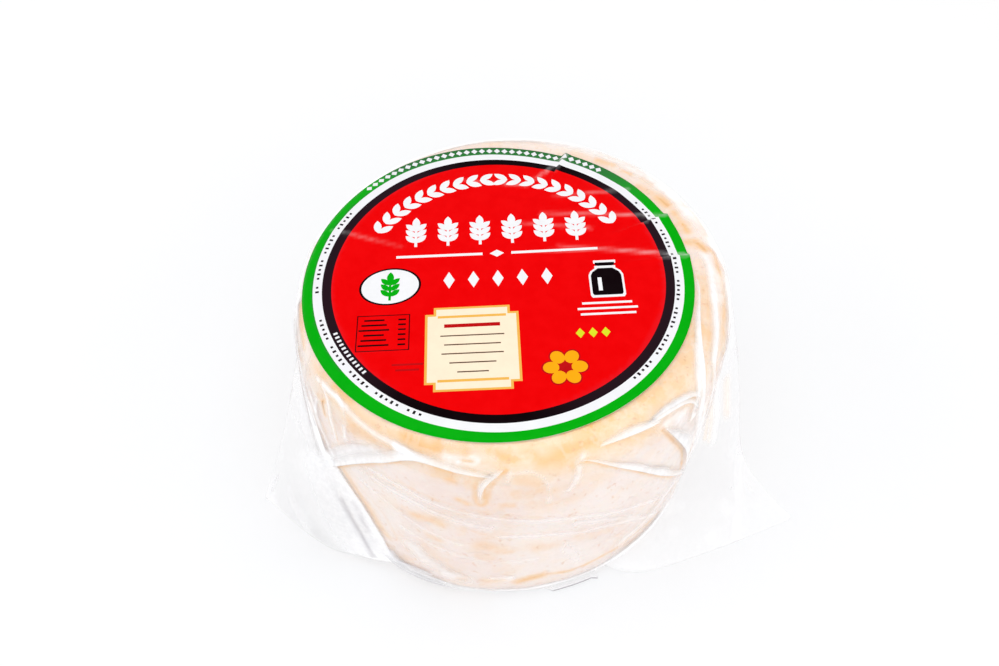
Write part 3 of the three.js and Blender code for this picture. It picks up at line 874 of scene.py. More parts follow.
def film_finish(name, least, most, gloss, glow, white):
    """Clear film: alpha runs from least to most as the haze goes from 0 to 1."""
    material, tree, shader = new_material(
        name, Roughness=0.35, Coat_Weight=gloss, Coat_Roughness=0.1, IOR=1.4, Emission_Color=WHITE
    )
    material.cycles.emission_sampling = "NONE"
    # The film's emission is a painted glow, with more of it where lit is set.
    painted_glow = maths(tree, "MULTIPLY_ADD", attribute(tree, "lit"), LIT_GLOW, glow)
    tree.links.new(painted_glow, shader.inputs["Emission Strength"])
    where = add_node(tree, "ShaderNodeTexCoord").outputs["Object"]
    mottle = ramp(tree, speckle(tree, where, 240.0, 4.0, 0.6, 2.2), 0.3, 0.75)
    uneven = maths(tree, "MULTIPLY_ADD", mottle, 0.2, 0.88)
    veil = maths(tree, "MULTIPLY", attribute(tree, "haze"), uneven)
    alpha = maths(tree, "MULTIPLY_ADD", veil, most - least, least, clamp=True)
    tree.links.new(alpha, shader.inputs["Alpha"])
    thin = (white * 0.97, white * 0.975, white * 0.995)
    milk = blend_colours(tree, mottle, thin, (white, white, white * 1.01))
    shade = blend_colours(tree, attribute(tree, "grey"), milk, FILM_SHADOW)
    shade = blend_colours(tree, attribute(tree, "warm"), shade, FILM_TAN)
    tree.links.new(shade, shader.inputs["Base Color"])
    add_bump(tree, shader, speckle(tree, where, 900.0, 3.0, 0.5, 5.0), 0.0002, 0.3)
    return material


tight_film = film_finish("tight_clear_film", least=0.04, most=0.88, gloss=0.4, glow=0.08, white=0.95)
loose_film = film_finish("loose_clear_film", least=0.0, most=0.92, gloss=0.1, glow=0.09, white=0.918)

# %% [markdown]
# ### Where the film is pulled
#
# Film that is drawn over a round body can't lie flat. It gathers into fine straight wrinkles that
# run out from each corner of the bag, like the folds from the corner of a tied cloth. They are
# drawn here as fans: round each knot the relief changes quickly with direction and slowly with
# distance. Broader swellings follow the pleats.

# %% The tight film's wrinkles
# Where the film gathers: azimuth and height of the knot, how far its wrinkles reach, their height,
# and how many there are in a full turn.
KNOTS = [
    (-154, 40, 85.0, 0.35, 13),
    (-33, 42, 80.0, 0.35, 13),
    (-168, 80, 45.0, 0.45, 11),
    (-8, 104, 50.0, 0.45, 11),
    (-128, 6, 60.0, 0.50, 15),
    (-62, 6, 45.0, 0.35, 13),
    (52, 60, 70.0, 0.45, 12),
    (128, 56, 70.0, 0.45, 12),
]
KNOT_SIZE, WRINKLE_LENGTH = 8.0, 55.0
SWELL_WIDTH, SWELL_HEIGHT = 6.0, 0.3


def fan(points, normals, knot, seed):
    """The wrinkles that run out from one knot, in mm."""
    azimuth, z, reach, height, count = knot
    turn = math.radians(azimuth)
    side = np.array((-math.sin(turn), math.cos(turn), 0.0))
    off = points - on_wall(turn, z)
    distance = np.linalg.norm(off, axis=-1)
    lift = np.zeros(len(points))
    near = (distance < reach) & ((normals * on_wall(turn, z, 1.0)).sum(-1) > 0)
    angle = np.arctan2(off[near, 2], off[near] @ side)
    turns = count / 3
    keys = (np.cos(angle) * turns, np.sin(angle) * turns, distance[near] / WRINKLE_LENGTH)
    wrinkle = rough(np.column_stack(keys), 1.0, seed)
    fade = smooth(distance[near] / KNOT_SIZE) * (1 - smooth(distance[near] / reach))
    lift[near] = height * fade * smooth((wrinkle + 0.1) / 0.7)
    return lift


# %% The tight film
FILM_AROUND, FILM_WALL_ROWS = 640, 98
FINE_WRINKLE, FINE_SIZE = 0.1, 7.0
# Where the tight film gets a painted glow for light from behind: where an ear or the web closes off
# a corner against the wall, which lifts the shade there, and at the right and round the back of the
# rim: route and width.
CORNERS = [
    ([(-157, 80), (-153, 64), (-150.5, 53), (-146, 54)], 3.5),
    ([(-143, 49), (-137, 43), (-132, 33), (-127, 20), (-125, 12)], 3.5),
    ([(-36, 100), (-31, 80), (-28, 60), (-29, 44)], 9.0),
    ([(-4, 108), (-10, 96), (-16, 80), (-20, 62)], 7.0),
    ([(90, 9.5, 110.5), (84, 31, 109.5), (52, 108), (90, 107), (135, 107)], 5.0),
]
CORNER_LIT = 0.6
# The foot gets a painted glow for the floor's light, but for the gathered foot at the left, which
# stays dull as a painted shade.
FOOT_LIT, FOOT_LIT_REACH = 0.7, 12.0
FOOT_SHADE, FOOT_SHADE_WIDTH = [(-125, 14), (-119, 9), (-110, 8)], 7.0


def film_piece(name, rings, material, **values):
    """A closed piece of the bag's film through rings of points, with values laid out as they are."""
    points, faces = closed_mesh(rings)
    attributes = {key: with_ends(value) for key, value in values.items()}
    piece = new_piece(name, points, faces, [material], attributes)
    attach(piece, "root")
    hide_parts("bagged_wheel")


# %% Relief of the tight film
rings = wheel_rings(FILM_AROUND, FILM_WALL_ROWS)
layout = rings.shape[:2]
normals = outward(rings).reshape(-1, 3)
points = rings.reshape(-1, 3)
fans = sum(fan(points, normals, knot, 11 + k) for k, knot in enumerate(KNOTS))
pulled, milky, grey = np.zeros((3, len(points)))
for route, _, height, _, _, _, _ in PLEATS.values():
    pulled += SWELL_HEIGHT * height * band(points, wall_path(route), SWELL_WIDTH)
for route, width, white, dull in VEILS:
    share = band(points, wall_path(route), width)
    milky += white * share
    grey = np.maximum(grey, dull * share)
fine = FINE_WRINKLE * (rough(points * (1.0, 1.0, 2.2), FINE_SIZE, 31) + 1)
wall_only = smooth((top_height(points[:, 0]) - points[:, 2]) / 2.0)
wall_only *= (points[:, 2] > 0.5) * smooth(points[:, 2] / 6.0)
lift = (fans + pulled + fine) * wall_only
film_points = (points + normals * lift[:, None]).reshape(rings.shape)
film_points[..., 2] = np.maximum(film_points[..., 2], 0.0)
print("the film's wrinkles are up to", lift.max().round(2), "mm high")

# %% Haze and glow of the tight film
# The film is whitest where it is crushed, and clear over the tan lines and the painted shadow lines
# under the pleats.
haze = (0.07 + 0.7 * np.clip(fans, 0, 0.5) + 0.10 * np.clip(pulled, 0, 1)) * (0.4 + 0.6 * wall_only)
haze = (haze + milky) * (1 - 0.9 * np.minimum(tan_and_shadow_share(points), 1.0))
lit = FOOT_LIT * (1 - smooth(points[:, 2] / FOOT_LIT_REACH))
lit *= 1 - 0.9 * band(points, wall_path(FOOT_SHADE), FOOT_SHADE_WIDTH)
for route, width in CORNERS:
    lit = np.maximum(lit, CORNER_LIT * band(points, wall_path(route), width))
wrap_points, wrap_faces = closed_mesh(film_points)
film_tree = BVHTree.FromPolygons([Vector(p) for p in wrap_points], wrap_faces)
film_piece(
    "film_wrap", film_points, tight_film,
    haze=haze.reshape(layout), grey=grey.reshape(layout), lit=lit.reshape(layout),
)

# %% [markdown]
# ### The pleats
#
# A pleat is a strip of film that lies over the film beside it. One side runs out of the surface
# without a line, and the other ends in a lip that stands free and catches the light. Displacing the
# wrap can't give such an overhang, so each pleat is a thin closed strip of its own. It is laid on
# the wrap by looking up the nearest point of the wrap and rising from there.

# %% Pleat strips
# The section of a pleat: share of its width from the lip, share of its height, and its whiteness.
PLEAT_SECTION = [
    (-1.0, 0.0, 0.0), (-0.85, 0.12, 0.2), (-0.65, 0.26, 0.55), (-0.45, 0.42, 0.85), (-0.25, 0.65, 1.0),
    (-0.1, 0.9, 1.0), (0.0, 0.9, 1.0), (-0.02, 0.5, 0.9), (-0.18, 0.3, 0.7), (-0.5, 0.12, 0.3),
    (-0.85, 0.01, 0.0),
]
STRIP_STEP = 1.2
STRIP_CLEARANCE = 0.12
EVEN_REACH = 6
LIP_SHARE = 0.65


def on_film(point):
    """The nearest point of the wrap and the direction that faces out there."""
    place, normal, _, _ = film_tree.find_nearest(Vector(point))
    return np.array(place), np.array(normal)


def evened(rings):
    """Rings with the small bumps of the wrap below them smoothed away along the strip."""
    weights = np.exp(-np.linspace(-1.6, 1.6, 2 * EVEN_REACH + 1) ** 2)
    padded = np.concatenate((rings[:1].repeat(EVEN_REACH, 0), rings, rings[-1:].repeat(EVEN_REACH, 0)))
    moved = sum(w * padded[k:k + len(rings)] for k, w in enumerate(weights)) / weights.sum()
    share = smooth(np.minimum(np.arange(len(rings)), np.arange(len(rings))[::-1]) / 4)[:, None, None]
    return rings * (1 - share) + moved * share


def pleat(name, route, widths, height, white, dull, _shadow_line, side, seed):
    """A strip that lies on the wrap with its lip along the route, tapered at both ends."""
    path = wall_path(route, STRIP_STEP)
    run = np.gradient(path, axis=0)
    steps = len(path)
    rings, values = [], []
    ups = evened(np.array([on_film(point)[1] for point in path])[:, None, :])[:, 0]
    keys = (np.arange(steps) * 1.0, np.full(steps, seed), np.zeros(steps))
    jitter = rough(np.column_stack(keys), 7.0, seed)
    spreads = np.interp(np.linspace(0, 1, steps), np.linspace(0, 1, len(widths)), widths)
    for k, (point, forward, up) in enumerate(zip(path, run, ups)):
        across = np.cross(up, forward) * side
        across /= np.linalg.norm(across)
        taper = math.sin(math.pi * (0.02 + 0.96 * k / (steps - 1))) ** 0.5
        spread = spreads[k] * taper * (1 + 0.3 * jitter[k])
        ring = []
        for out, rise, _ in PLEAT_SECTION:
            place, normal = on_film(point + across * spread * out)
            ring.append(place + normal * (STRIP_CLEARANCE + LIP_SHARE * height * taper * rise))
        rings.append(ring)
        fullness = white * taper * (0.9 + 0.25 * jitter[k])
        values.append([fullness * milk for _, _, milk in PLEAT_SECTION])
    values = np.array(values)
    film_piece("pleat_" + name, evened(np.array(rings)), loose_film, haze=values, grey=values * dull)


for seed, (name, facts) in enumerate(PLEATS.items()):
    pleat(name, *facts, seed)

# %% [markdown]
# ### The ears
#
# At the corners of the bag the two layers of film meet with nothing between them, and stand out
# as flat fins that end in a point. Each is lofted between an upper and a lower edge. The layers
# part a little where they pass round the wheel. The film is clear, so little shows of it: faint
# streaks where it was crushed, the marks listed below, and an edge that is hardly whiter than the
# rest. Those get the haze. Near the floor the film gets a faint painted glow for the floor's
# light, and at its root a painted glow that lifts the shade against the wall.

# %% Where the ears are
# Each edge of an ear starts at an azimuth and a height on the wheel, and goes on through free places
# in x, y and z. belly is how far the fin bows to one side, and root_haze how white it is where it
# leaves the wheel.
EARS = {
    "front_right": {
        "upper": [(-5, 104), (99, -10, 85), (106, -17, 51), (110.5, -30, 20), (120, -46, 11),
                  (132, -54.5, 2)],
        "lower": [(-62, 1.5), (59, -80, 1), (95, -70, 1), (131, -56.5, 1)],
        "belly": 2.0,
        "root_haze": 0.15,
    },
    "front_left": {
        "upper": [(-176, 76), (-99, -26, 40), (-113, -35.6, 2)],
        "lower": [(-127, 1.5), (-74, -66, 1), (-90, -57, 1), (-111.5, -37.5, 1)],
        "belly": 3.0,
        "root_haze": 0.5,
    },
    "back_right": {
        "upper": [(50, 62), (68, 92, 30), (72, 112, 2)],
        "lower": [(92, 1.5), (20, 97, 1), (46, 108, 1), (70, 113, 1)],
        "belly": -3.0,
        "root_haze": 0.15,
    },
    "back_left": {
        "upper": [(130, 58), (-60, 90, 26), (-58, 110, 2)],
        "lower": [(98, 1.5), (-16, 98, 1), (-38, 106, 1), (-56, 111, 1)],
        "belly": 3.0,
        "root_haze": 0.15,
    },
}
# Streaks on the ears and the web: xyz route, width, how white, how grey with painted shade and how tan.
FILM_MARKS = [
    ([(83, -25, 71), (83, -30, 62), (84.5, -39, 43)], 1.2, 0.9, 0.0, 0.0),
    ([(85.5, -26, 68), (88.5, -28, 60), (90, -31.5, 49.5), (89.5, -36.5, 40.5)], 1.7, 0.8, 0.0, 1.0),
    ([(91.5, -23, 67), (93, -29.5, 49.5), (92.5, -35.5, 39)], 1.6, 0.85, 0.0, 0.0),
    ([(97.5, -20, 63), (99.5, -26, 44.5)], 2.4, 0.5, 0.0, 0.5),
    ([(99.5, -25.5, 46.5), (99.5, -28, 41.5)], 0.8, 0.6, 0.5, 0.0),
    ([(103.5, -45.5, 13), (105, -45.5, 12.5)], 0.6, 0.7, 0.8, 0.0),
    ([(106.5, -35.5, 19.5), (113.5, -45, 10), (122, -53, 3.5)], 0.8, 0.3, 0.2, 0.0),
    ([(-104, -35.5, 19), (-107, -36.5, 13.5), (-109, -37, 8)], 0.9, 0.5, 0.5, 0.0),
    ([(-89.5, -19.5, 56.5), (-86, -32, 42.5), (-83, -40, 34)], 2.5, 0.6, 0.05, 0.0),
    ([(-70.5, -60.5, 40.5), (-63.5, -69, 21.5), (-60, -72, 8.5)], 1.3, 0.75, 0.7, 0.0),
    ([(-65, -63.5, 43), (-62.5, -66.5, 37.5), (-60.5, -69.5, 27.5)], 1.1, 0.7, 0.5, 0.0),
]

# %% Sheets of loose film
EAR_ROOT_DEPTH = 4.0  # how far inside the wheel an ear starts
EAR_ROOT_GAP, EAR_FILM = 6.0, 0.35  # from layer to layer, at the root and where they lie together
EAR_STATIONS, EAR_ROWS = 90, 46
EAR_FLOOR = 0.3
# Loose film near the floor gets a painted glow for the floor's light: how much, and up to what height.
LOW_LIT, LOW_REACH = 0.35, 30.0


def ear_edge(places):
    """An edge of an ear from inside the wheel to the tip, EAR_STATIONS + 1 points."""
    (azimuth, z), *free = places
    turn = math.radians(azimuth)
    path = along_path([on_wall(turn, z, -EAR_ROOT_DEPTH), on_wall(turn, z), *free], 0.5)
    return resampled(path, np.arange(len(path)), np.linspace(0, len(path) - 1, EAR_STATIONS + 1))


def both_layers(front, back=None):
    """The front layer of a sheet and then its back layer, which runs the other way round."""
    back = front if back is None else back
    return np.concatenate((front, back[:, ::-1]), axis=1)


def streaked(u, v, seed):
    """Random values from -1 to 1 over a sheet with coordinates u and v, scaled to the streaks."""
    u, v = np.broadcast_arrays(u, v)
    keys = np.column_stack((u.ravel(), v.ravel(), np.full(u.size, float(seed))))
    return rough(keys, 1.0, seed).reshape(u.shape)


def marks_on(rings):
    """What the marks add to each point of a sheet: white, grey and tan."""
    found = np.zeros((3, rings[..., 0].size))
    for route, width, *shades in FILM_MARKS:
        share = band(rings.reshape(-1, 3), along_path(route), width)
        found = np.maximum(found, np.outer(shades, share))
    return found.reshape(3, *rings.shape[:2])


def film_sheet(name, rings, haze, dull, lit):
    """A sheet of loose film. The marks add to its haze and its grey painted shade, and it gets a painted
    glow near the floor.
    """
    rings[..., 2] = np.maximum(rings[..., 2], EAR_FLOOR)
    white, grey, tan = marks_on(rings)
    film_piece(
        name, rings, loose_film, haze=np.maximum(haze, white), grey=np.maximum(dull, grey), warm=tan,
        lit=np.maximum(lit + 0 * haze, LOW_LIT * (1 - smooth(rings[..., 2] / LOW_REACH))),
    )


# %% Ears
EAR_STREAKS, EAR_CRUMPLE = 1.3, 0.8  # how far they bow the sheet, in mm
EAR_HEM = 0.03  # the share of a sheet that its whiter edge takes up


def ear(name, upper, lower, belly, root_haze, seed):
    """An ear: the sheet between its two edges, as two layers of film."""
    head, foot = ear_edge(upper), ear_edge(lower)
    rise = head - foot
    across = np.cross(rise, np.gradient((head + foot) / 2, axis=0))
    across[:, 2] = 0.0
    across /= np.linalg.norm(across, axis=1, keepdims=True)
    along = np.linspace(0, 1, EAR_STATIONS + 1)[:, None]
    share = np.linspace(0, 1, EAR_ROWS)[None, :]
    arch = np.sin(np.pi * share)
    middle = foot[:, None, :] + rise[:, None, :] * share[..., None]
    streaks = streaked(along * 9.0, share * 1.6, seed)
    crumple = rough(middle.reshape(-1, 3), 9.0, seed + 1).reshape(middle.shape[:2])
    bow = belly * arch * np.sin(np.pi * along)
    bow = bow + (EAR_STREAKS * streaks + EAR_CRUMPLE * crumple) * arch**0.6 * along
    half = (EAR_FILM + (EAR_ROOT_GAP - EAR_FILM) * (1 - np.sqrt(along)) * arch) / 2
    front, back = (middle + across[:, None, :] * (bow + sign * half)[..., None] for sign in (1, -1))

    # Haze: a little everywhere, more where the film is crushed, at the hem and at the root.
    hem = np.maximum(smooth((share - 0.965) / EAR_HEM), 1 - smooth(share / EAR_HEM))
    hem = np.clip(hem + smooth((along - 1 + EAR_HEM) / EAR_HEM), 0, 1)
    crushed = smooth((streaks - 0.1) / 0.5)
    haze = 0.05 + 0.22 * crushed + 0.08 * smooth((crumple - 0.1) / 0.5) + 0.08 * hem
    haze = (haze + root_haze * (1 - smooth(along / 0.4))) * smooth((along - 0.01) / 0.05)
    # The last value is a painted glow at the root, which lifts the shade where the ear meets the wall.
    film_sheet(
        "ear_" + name, both_layers(front, back), both_layers(haze), 0.14 * both_layers(crushed),
        0.3 * (1 - smooth(along / 0.15)),
    )


for k, (name, shape) in enumerate(EARS.items()):
    ear(name, **shape, seed=50 + k)

# %% [markdown]
# ### The web at the front left
#
# The front layer of that corner leaves the wheel well before the ear, and spans the gap between the
# two. It hides the side of the wheel behind it, and two dull streaks run down it. It is a thin
# ruled sheet between a line on the wheel and a line in the plane of the ear.

# %% Web
WEB_ROOT = [(-147.2, 61.5), (-143, 57.3), (-140, 53.8), (-136.3, 49.3), (-132.6, 43.8), (-129.4, 35.5),
            (-126.8, 28), (-125.2, 20), (-123.6, 10), (-122.4, 4)]
WEB_RIM = [(-98, -30, 48), (-103, -38, 30), (-103, -47, 14), (-97, -55, 5), (-88, -62, 1.5)]
WEB_ROWS = 30
WEB_ROOT_OUT = 1 + 0.5 / 90  # the root stands half a millimetre off the wheel


def web(name, root, rim, seed):
    """A sheet of film from a root on the wheel to a free rim, folded along its root."""
    inner = wall_path(root) * (WEB_ROOT_OUT, WEB_ROOT_OUT, 1.0)
    outer = along_path(rim, 0.5)
    outer = resampled(outer, np.linspace(0, 1, len(outer)), np.linspace(0, 1, len(inner)))
    share = np.linspace(0, 1, WEB_ROWS)[None, :]
    along = np.linspace(0, 1, len(inner))[:, None]
    out = np.cross(outer - inner, np.gradient(inner, axis=0))
    out *= np.sign((out * inner).sum(axis=1, keepdims=True))
    out = (out / np.linalg.norm(out, axis=1, keepdims=True))[:, None, :]
    folds = streaked(share * 5.0, along * 1.5, seed)
    sheet = inner[:, None, :] + (outer - inner)[:, None, :] * share[..., None]
    sheet = sheet + out * ((0.8 * folds + 0.8) * smooth(share / 0.3))[..., None]
    haze = 0.72 * (1 - smooth((share - 0.12) / 0.7)) + 0.12 * folds * (1 - share)
    haze = haze * smooth(along / 0.15) * smooth((1.02 - along) / 0.08)
    haze = both_layers(np.clip(haze, 0.0, 1.0))
    # A painted glow along the root lifts the shade in the corner against the wall.
    lit = 0.3 * (1 - smooth(both_layers(share) / 0.2))
    film_sheet("web_" + name, both_layers(sheet, sheet - out * EAR_FILM), haze, 0.06 * haze, lit)


web("front_left", WEB_ROOT, WEB_RIM, 71)

# %% [markdown]
# ### The seal
#
# The bag's welded edge lies flat round the front of the foot. It is a flat strip, so it needs only
# a few points across. Its outer edge waves a little. Its right end stands out past the foot, and is
# clear there but for a thin grey line along its edge, a painted shadow under the edge.

# %% Seal strip
# The outer edge: azimuths and radii. SEAL_SECTION goes from the inner edge (0) to the outer (1).
SEAL_AZIMUTHS = (-132, -129, -122, -110, -95, -80, -77.6, -66, -64.2, -63.4, -60, -52)
SEAL_RADII = (76, 80, 84.5, 86.5, 87, 87.2, 89.7, 90, 91.6, 85, 83, 76)
SEAL_INNER = 76.0
SEAL_SECTION = (0.0, 0.35, 0.7, 0.9, 0.955, 1.0)
SEAL_END_FROM, SEAL_END_TO = -79.5, -63.6
SEAL_THICKNESS = 0.35
SEAL_LOW = 0.45


def seal_strip():
    """The strip in sections round the foot. end is 1 along its right end and 0 elsewhere."""
    rings, values, dull = [], [], []
    for azimuth in np.linspace(SEAL_AZIMUTHS[0], SEAL_AZIMUTHS[-1], 201):
        end = float(smooth((azimuth - SEAL_END_FROM) / 3) * smooth(SEAL_END_TO - azimuth))
        reach = np.interp(azimuth, SEAL_AZIMUTHS, SEAL_RADII) + 0.1 - SEAL_INNER
        reach += 0.5 * (1 - end) * noise.noise(Vector((azimuth / 6.0, 3.0, 1.0)))
        ring, shade = [], []
        for out in SEAL_SECTION:
            lift = 0.25 * out * (1 + noise.noise(Vector((azimuth / 3.0, out, 7.0))))
            ring.append((*polar(SEAL_INNER + reach * out, azimuth), SEAL_LOW + 0.4 * out * end + lift))
            shade.append((0.2 + 0.65 * out**3) * (1 - 0.85 * end * (out < 0.95)))
        # The grey along the outer edge of the right end is a painted shadow line.
        shadow_line = [end * (out == 1.0) for out in SEAL_SECTION]
        rings.append(ring + [(x, y, z + SEAL_THICKNESS) for x, y, z in reversed(ring)])
        values.append(shade + shade[::-1])
        dull.append(shadow_line + shadow_line[::-1])
    film_piece("seal_strip", np.array(rings), loose_film, haze=np.array(values), grey=np.array(dull))


seal_strip()

# %% [markdown]
# ## The label
#
# The label is a round sheet of glossy printed paper, about 16 cm across: a green ring, a white ring
# and a black ring round a red field. Its print is made of flat shapes. A picture on the mesh would
# blur and can't be used, so the sheet itself is cut along the shapes' outlines: a constrained
# Delaunay triangulation gives triangles that never cross an outline, and each triangle takes the ink
# of the topmost shape it lies in. Extra points in between let the sheet bend and wrinkle.

# %% Inks
INKS = {
    "red": (0.745, 0.0003, 0.0012),
    "white": (0.785, 0.79, 0.81),
    "black": (0.004, 0.001, 0.002),
    "green": (0.001, 0.36, 0.004),
    "cream": (0.88, 0.74, 0.56),
    "gold": (0.78, 0.42, 0.08),
    "orange": (0.88, 0.36, 0.006),
    "maroon": (0.45, 0.004, 0.006),
    "leaf": (0.62, 0.66, 0.02),
    "brown": (0.10, 0.05, 0.03),
}
# Where the print gets its painted sheen and shade near the rim, black goes grey with the painted
# sheen and white stays nearly as it is. The green there takes its own colour: a painted shade with a
# little painted sheen.
INK_SHEEN = (0.028, 0.012, 0.02)
GREEN_SHADE_AND_SHEEN = (0.030, 0.155, 0.042)
GLINT_COLOUR = (0.80, 0.78, 0.78)


def ink(name, colour):
    """Glossy printed paper in one colour, with the faint unevenness of the press."""
    material, tree, shader = new_material("ink_" + name, Roughness=0.25, Specular_IOR_Level=0.015)
    where = add_node(tree, "ShaderNodeTexCoord").outputs["Object"]
    press = ramp(tree, speckle(tree, where, 160.0, 3.0, 0.6, 4.0), 0.3, 0.7)
    paler = tuple(min(1.0, c * 1.04 + 0.001) for c in colour)
    sheen_and_shade = tuple(faint + 0.25 * c + 0.9 * c * c for faint, c in zip(INK_SHEEN, colour))
    if name == "green":
        sheen_and_shade = GREEN_SHADE_AND_SHEEN
    printed = blend_colours(tree, press, colour, paler)
    # Near the rim the ink takes a painted sheen and shade.
    printed = blend_colours(tree, attribute(tree, "sheen_and_shade"), printed, sheen_and_shade)
    # Along the crests of creases and tuck ridges the ink turns pale grey: a painted glint.
    painted_glint = maths(tree, "MULTIPLY", attribute(tree, "painted_glint"), maths(tree, "MULTIPLY_ADD", press, 0.5, 0.5))
    tree.links.new(blend_colours(tree, painted_glint, printed, GLINT_COLOUR), shader.inputs["Base Color"])
    add_bump(tree, shader, speckle(tree, where, 300.0, 3.0, 0.6, 9.0), 0.0003, 0.25)
    return material


ink_names = list(INKS)
ink_materials = [ink(name, colour) for name, colour in INKS.items()]

# %% Outlines for the print
# Each shape is an ink and an outline, in mm from the label's centre, +Y to the back. Later shapes
# lie over earlier ones.
shapes = []


def stamp(colour, outline, centre=(0.0, 0.0), turn=0.0):
    """Adds a shape: an outline turned by `turn` degrees and moved to centre."""
    c, s = math.cos(math.radians(turn)), math.sin(math.radians(turn))
    points = np.asarray(outline, float) @ np.array(((c, s), (-s, c))) + centre
    x, y = points[:, 0], points[:, 1]
    if np.sum(x * np.roll(y, -1) - y * np.roll(x, -1)) < 0:
        points = points[::-1]
    shapes.append((colour, points))


def round_outline(radius, count, across=1.0):
    """A circle of `count` points, or an oval that is wider by the factor across."""
    turn = np.linspace(0, 2 * np.pi, count, endpoint=False)
    return np.column_stack((radius * across * np.cos(turn), radius * np.sin(turn)))


def bar(width, height):
    """An upright rectangle round the origin."""
    x, y = width / 2, height / 2
    return [(-x, -y), (x, -y), (x, y), (-x, y)]


def diamond(width, height):
    return [(-width / 2, 0), (0, -height / 2), (width / 2, 0), (0, height / 2)]


def leaf(length, width):
    """A pointed leaf from the origin along +X."""
    share = np.linspace(0, 1, 7)
    half = width / 2 * np.sin(np.pi * share) ** 0.8
    top = np.column_stack((length * share, half))
    return np.vstack((top, np.column_stack((length * share, -half))[-2:0:-1]))


def sprig(colour, x, y, height):
    """A small upright twig from (x, y): a stem, a leaf at its end and three pairs of leaves."""
    stamp(colour, bar(height * 0.7, height * 0.07), (x, y + height * 0.35), 90)
    stamp(colour, leaf(height * 0.42, height * 0.2), (x, y + height * 0.6), 90)
    for share in (0.14, 0.34, 0.54):
        for lean in (-46, 46):
            stamp(colour, leaf(height * 0.36, height * 0.17), (x, y + height * share), 90 + lean)


# %% Rings of the label
GREEN_INNER, WHITE_INNER, BLACK_INNER = 76.0, 72.2, 68.4
PRINT_SHIFT = (0.3, -0.4)  # the print lies a little off the middle of the sheet

for colour, radius, count, centre in (
    ("green", LABEL_RADIUS, 360, (0.0, 0.0)),
    ("white", GREEN_INNER, 360, PRINT_SHIFT),
    ("black", WHITE_INNER, 240, PRINT_SHIFT),
    ("red", BLACK_INNER, 240, PRINT_SHIFT),
):
    stamp(colour, round_outline(radius, count), centre)

# %% Ornament of the label
# Diamonds, dots and strokes run along the middle of the green, the white and the black ring. The
# white ring's dots stand in groups of five.
GREEN_MIDDLE, WHITE_MIDDLE, BLACK_MIDDLE = 78.1, 73.9, 70.2
DOT_RUNS = ((-48, 32), (148, 186), (196, 246))
DIAMOND_STEP, DOT_STEP, STROKE_STEP = 2.6, 1.9, 1.7  # in degrees

for azimuth in np.arange(52.0, 136.0, DIAMOND_STEP):
    stamp("white", diamond(3.0, 3.2), polar(GREEN_MIDDLE, azimuth), azimuth - 90)
for first, last in DOT_RUNS:
    for k, azimuth in enumerate(np.arange(first, last, DOT_STEP)):
        if k % 6 != 5:
            stamp("black", bar(1.0, 1.5 if k % 2 else 1.0), polar(WHITE_MIDDLE, azimuth), azimuth - 90)
for azimuth in np.arange(203.0, 222.0, STROKE_STEP):
    stamp("white", bar(1.0, 1.7), polar(BLACK_MIDDLE, azimuth), azimuth - 90)

# A garland of leaves along the top of the red field.
GARLAND_RADIUS = 57.0
for azimuth in [*np.arange(28.0, 86.0, 6.2), *np.arange(152.0, 94.0, -6.2)]:
    turn = azimuth + (90 if azimuth < 90 else -90)
    for lean in (-32, 32):
        stamp("white", leaf(7.4, 3.4), polar(GARLAND_RADIUS, azimuth), turn + lean)

# A row of twigs, and two rules with a diamond between them.
for x in np.arange(-34.0, 35.0, 13.6):
    sprig("white", x, 17.5, 17.0)
for side in (-1, 1):
    stamp("white", bar(36.0, 1.4), (side * 24.0, 12.0))
stamp("white", diamond(6.0, 4.0), (0.0, 12.0))
for x in np.arange(-20.0, 21.0, 10.0):
    stamp("white", diamond(4.6, 9.0), (x, -2.0))

# An oval with a twig on the left, and a milk churn with three rules on the right.
OVAL_AT, CHURN_AT = (-44.0, -4.0), (44.0, -4.5)
CHURN_HALF = [(0, -9.0), (5.6, -9.0), (6.2, -8.0), (6.2, 1.5), (5.4, 3.4), (3.0, 5.4), (2.7, 6.6),
              (4.0, 7.2), (4.0, 8.6), (0, 8.6)]
stamp("black", round_outline(9.9, 40, 1.28), OVAL_AT, 8)
stamp("white", round_outline(9.1, 40, 1.29), OVAL_AT, 8)
sprig("green", -44.0, -11.5, 15.0)
churn = CHURN_HALF + [(-x, y) for x, y in reversed(CHURN_HALF[1:-1])]
stamp("white", np.array(churn) * 1.14, CHURN_AT)
stamp("black", churn, CHURN_AT)
stamp("white", bar(8.6, 1.3), (44.0, 1.6))
stamp("white", bar(1.6, 7.0), (41.2, -7.6))
for k, width in enumerate((20.0, 24.0, 22.0)):
    stamp("white", bar(width, 1.1), (43.0, -17.6 - 2.8 * k))

# %% Plaque of the label
PLAQUE_X, PLAQUE_Y = -11.0, -37.0


def plaque(width, height, notch):
    """A plate with a square notch at each corner."""
    x, y = width / 2, height / 2
    quarter = [(x - notch, -y), (x - notch, -y + notch), (x, -y + notch)]
    right = quarter + [(a, -b) for a, b in reversed(quarter)]
    return right + [(-a, b) for a, b in reversed(right)]


# It is cream with a gold border, and holds a maroon rule and five thin brown ones.
stamp("gold", plaque(37.0, 41.0, 3.4), (PLAQUE_X, PLAQUE_Y))
stamp("cream", plaque(35.0, 39.0, 3.4), (PLAQUE_X, PLAQUE_Y))
for up in (-15.6, 15.6):
    stamp("gold", bar(27.0, 1.2), (PLAQUE_X, PLAQUE_Y + up))
stamp("maroon", bar(22.0, 1.8), (PLAQUE_X, PLAQUE_Y + 11.0))
for k, width in enumerate((25.0, 22.0, 24.0, 18.0, 12.0)):
    stamp("brown", bar(width, 0.6), (PLAQUE_X, PLAQUE_Y + 6.0 - 4.4 * k))

